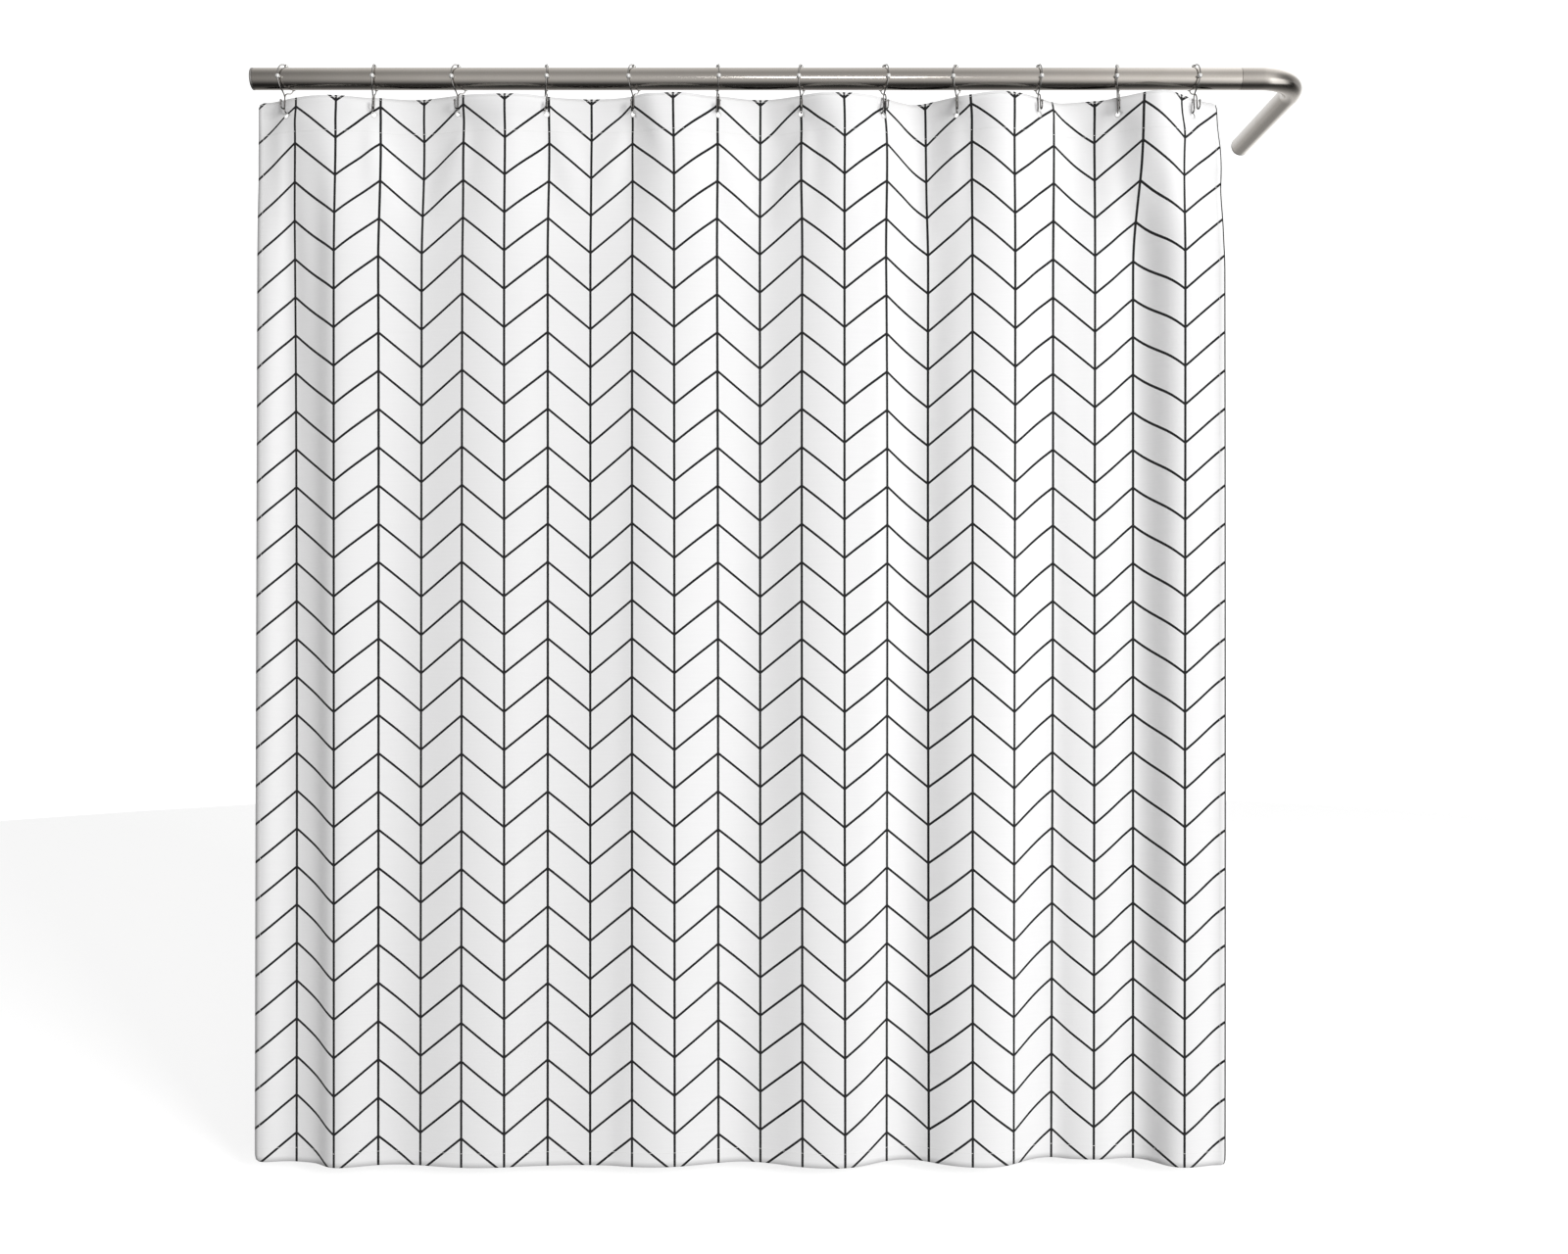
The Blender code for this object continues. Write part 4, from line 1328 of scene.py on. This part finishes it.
# ---- stage -----------------------------------------------------------------------
@dataclass
class Stage:
    """A white floor, soft studio light and the camera."""

    camera_distance: float = 2.5
    camera_height: float = -0.941
    camera_from_edge: float = 0.910   # to the right of the curtain's left edge
    lens: float = 33.44
    floor_gap: float = 0.030
    floor_radius: float = 6.0
    floor_glow: float = 0.42
    backdrop: float = 1.2             # brightness behind the object
    air: tuple[float, float] = (0.26, 0.63)     # level at the horizon and overhead
    band_tint: tuple[float, float] = (0.985, 0.965)
    bands: tuple[tuple[int, float], ...] = (    # degrees of elevation and brightness
        (-180, 1.0), (-160, 0.40), (-128, 0.12), (-92, 0.01), (-68, 0.05), (-44, 0.42),
        (-20, 0.72), (0, 0.66), (24, 0.50), (50, 0.38), (84, 0.72), (125, 1.0), (160, 1.5))
    flanks: tuple[tuple[float, float], ...] = (  # share from left to right, and brightness
        (0.32, 1.0), (0.60, 1.0), (0.68, 1.7), (0.80, 1.6), (0.92, 0.6))
    flank_ends: tuple[tuple[float, float], tuple[float, float]] = ((0.24, 0.40), (1.0, 0.4))
    window_glow: float = 1.1

    def floor(self, hem: float) -> None:
        """Lay a round white floor below the hem."""
        material, _, shader = material_with_tree("studio_floor", 0.0, 0.9)
        shader.inputs["Base Color"].default_value = (0.94, 0.94, 0.94, 1.0)
        shader.inputs["Emission Color"].default_value = (1.0, 1.0, 1.0, 1.0)
        shader.inputs["Emission Strength"].default_value = self.floor_glow
        bm = bmesh.new()
        bmesh.ops.create_circle(bm, cap_ends=True, radius=self.floor_radius, segments=64)
        place = Matrix.Translation((0.9, 0, hem - self.floor_gap))
        bmesh.ops.transform(bm, matrix=place, verts=bm.verts)
        floor = new_piece("studio_floor", bm, material)
        floor.visible_glossy = floor.visible_diffuse = False

    def sky(self) -> None:
        """Light the room evenly, with soft bands for metal to reflect."""
        world = bpy.data.worlds.new("studio")
        bpy.context.scene.world = world
        world.use_nodes = True
        tree = Tree(world.node_tree)
        background = world.node_tree.nodes["Background"]
        path = tree.node("ShaderNodeLightPath")
        split = tree.node("ShaderNodeSeparateXYZ",
                          {0: tree.node("ShaderNodeTexCoord").outputs["Generated"]})
        ahead = tree.math("MULTIPLY", split.outputs[1], -1.0)
        angle = tree.math("ARCTAN2", split.outputs[2], ahead)
        share = tree.math("MULTIPLY_ADD", angle, 1 / (2 * math.pi), 0.5)
        bands = tree.node("ShaderNodeValToRGB", {0: share})
        ramp = bands.color_ramp
        ramp.interpolation = "B_SPLINE"
        while len(ramp.elements) < len(self.bands):
            ramp.elements.new(0.5)
        green, blue = self.band_tint
        for stop, (degrees, value) in zip(ramp.elements, self.bands):
            stop.position = degrees / 360 + 0.5
            stop.color = (value, value * green, value * blue, 1.0)
        above = tree.ramp(split.outputs[2], 0.0, 0.9, *self.air)
        open_air = tree.node("ShaderNodeCombineColor", {0: above, 1: above, 2: above}).outputs[0]
        even = tree.mix(path.outputs["Is Camera Ray"], open_air,
                        (self.backdrop, self.backdrop, self.backdrop, 1.0))
        sides = tree.node("ShaderNodeValToRGB",
                          {0: tree.math("MULTIPLY_ADD", split.outputs[0], 0.5, 0.5)})
        flank = sides.color_ramp
        for place, value in self.flanks:
            flank.elements.new(place).color = (value, value, value, 1.0)
        for stop, (place, value) in zip((flank.elements[0], flank.elements[-1]), self.flank_ends):
            stop.position = place
            stop.color = (value, value, value, 1.0)
        seen = tree.vector("MULTIPLY", bands.outputs[0], sides.outputs[0])
        right = tree.math("MULTIPLY", tree.ramp(split.outputs[0], 0.42, 0.56),
                          tree.ramp(split.outputs[0], 0.86, 0.98, 1.0, 0.0))
        low = tree.math("MULTIPLY", tree.ramp(angle, -1.35, -1.10),
                        tree.ramp(angle, -0.30, 0.0, 1.0, 0.0))
        window = tree.math("MULTIPLY", right, low)
        window = tree.math("MULTIPLY", window, self.window_glow)
        shine = tree.node("ShaderNodeCombineColor", {0: window, 1: window, 2: window})
        lit = tree.vector("ADD", seen, shine.outputs[0])
        color = tree.mix(path.outputs["Is Glossy Ray"], even, lit)
        tree.feed(background.inputs["Color"], color)

    def lamp(self, name: str, place: Vector, aim: Vector, size: tuple[float, float],
             power: float, glossy: bool = False) -> None:
        """Add a soft rectangular lamp."""
        data = bpy.data.lights.new(name, "AREA")
        data.shape = "RECTANGLE"
        data.size, data.size_y = size
        data.energy = power
        lamp = linked(name, data)
        lamp.location = place
        lamp.rotation_euler = (aim - place).to_track_quat("-Z", "Y").to_euler()
        lamp.visible_glossy = glossy
        lamp.visible_camera = False

    def build(self) -> None:
        """Set the floor, the lamps, the camera and the view."""
        low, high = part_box("curtain_panel")
        middle = (low + high) / 2
        self.floor(low.z)
        self.sky()
        self.lamp("key_light", Vector((middle.x + 5.2, -7.0, 0.8)), middle, (2.6, 3.4), 590)
        self.lamp("fill_light", Vector((middle.x - 1.0, -4.0, 0.2)), middle, (3.0, 3.0), 3)
        self.lamp("bead_light", Vector((middle.x + 0.4, -3.4, -0.2)),
                  Vector((middle.x, 0, 0)), (0.9, 0.5), 9, glossy=True)
        data = bpy.data.cameras.new("view")
        data.lens = self.lens
        data.sensor_width = 36.0
        camera = linked("view", data)
        camera.location = (low.x + self.camera_from_edge, -self.camera_distance, self.camera_height)
        camera.rotation_euler = (math.pi / 2, 0, 0)
        bpy.context.scene.camera = camera
        bpy.context.scene.view_settings.view_transform = "Standard"


def main() -> None:
    """Build the curtain, its hooks, its rod and the stage."""
    logging.basicConfig(level=logging.INFO, format="%(name)s: %(message)s")
    finishes = Finishes()
    RollerHook(finishes).build()
    Curtain(finishes).build()
    CurtainRod(finishes).build()
    Stage().build()


if __name__ == "__main__":
    main()
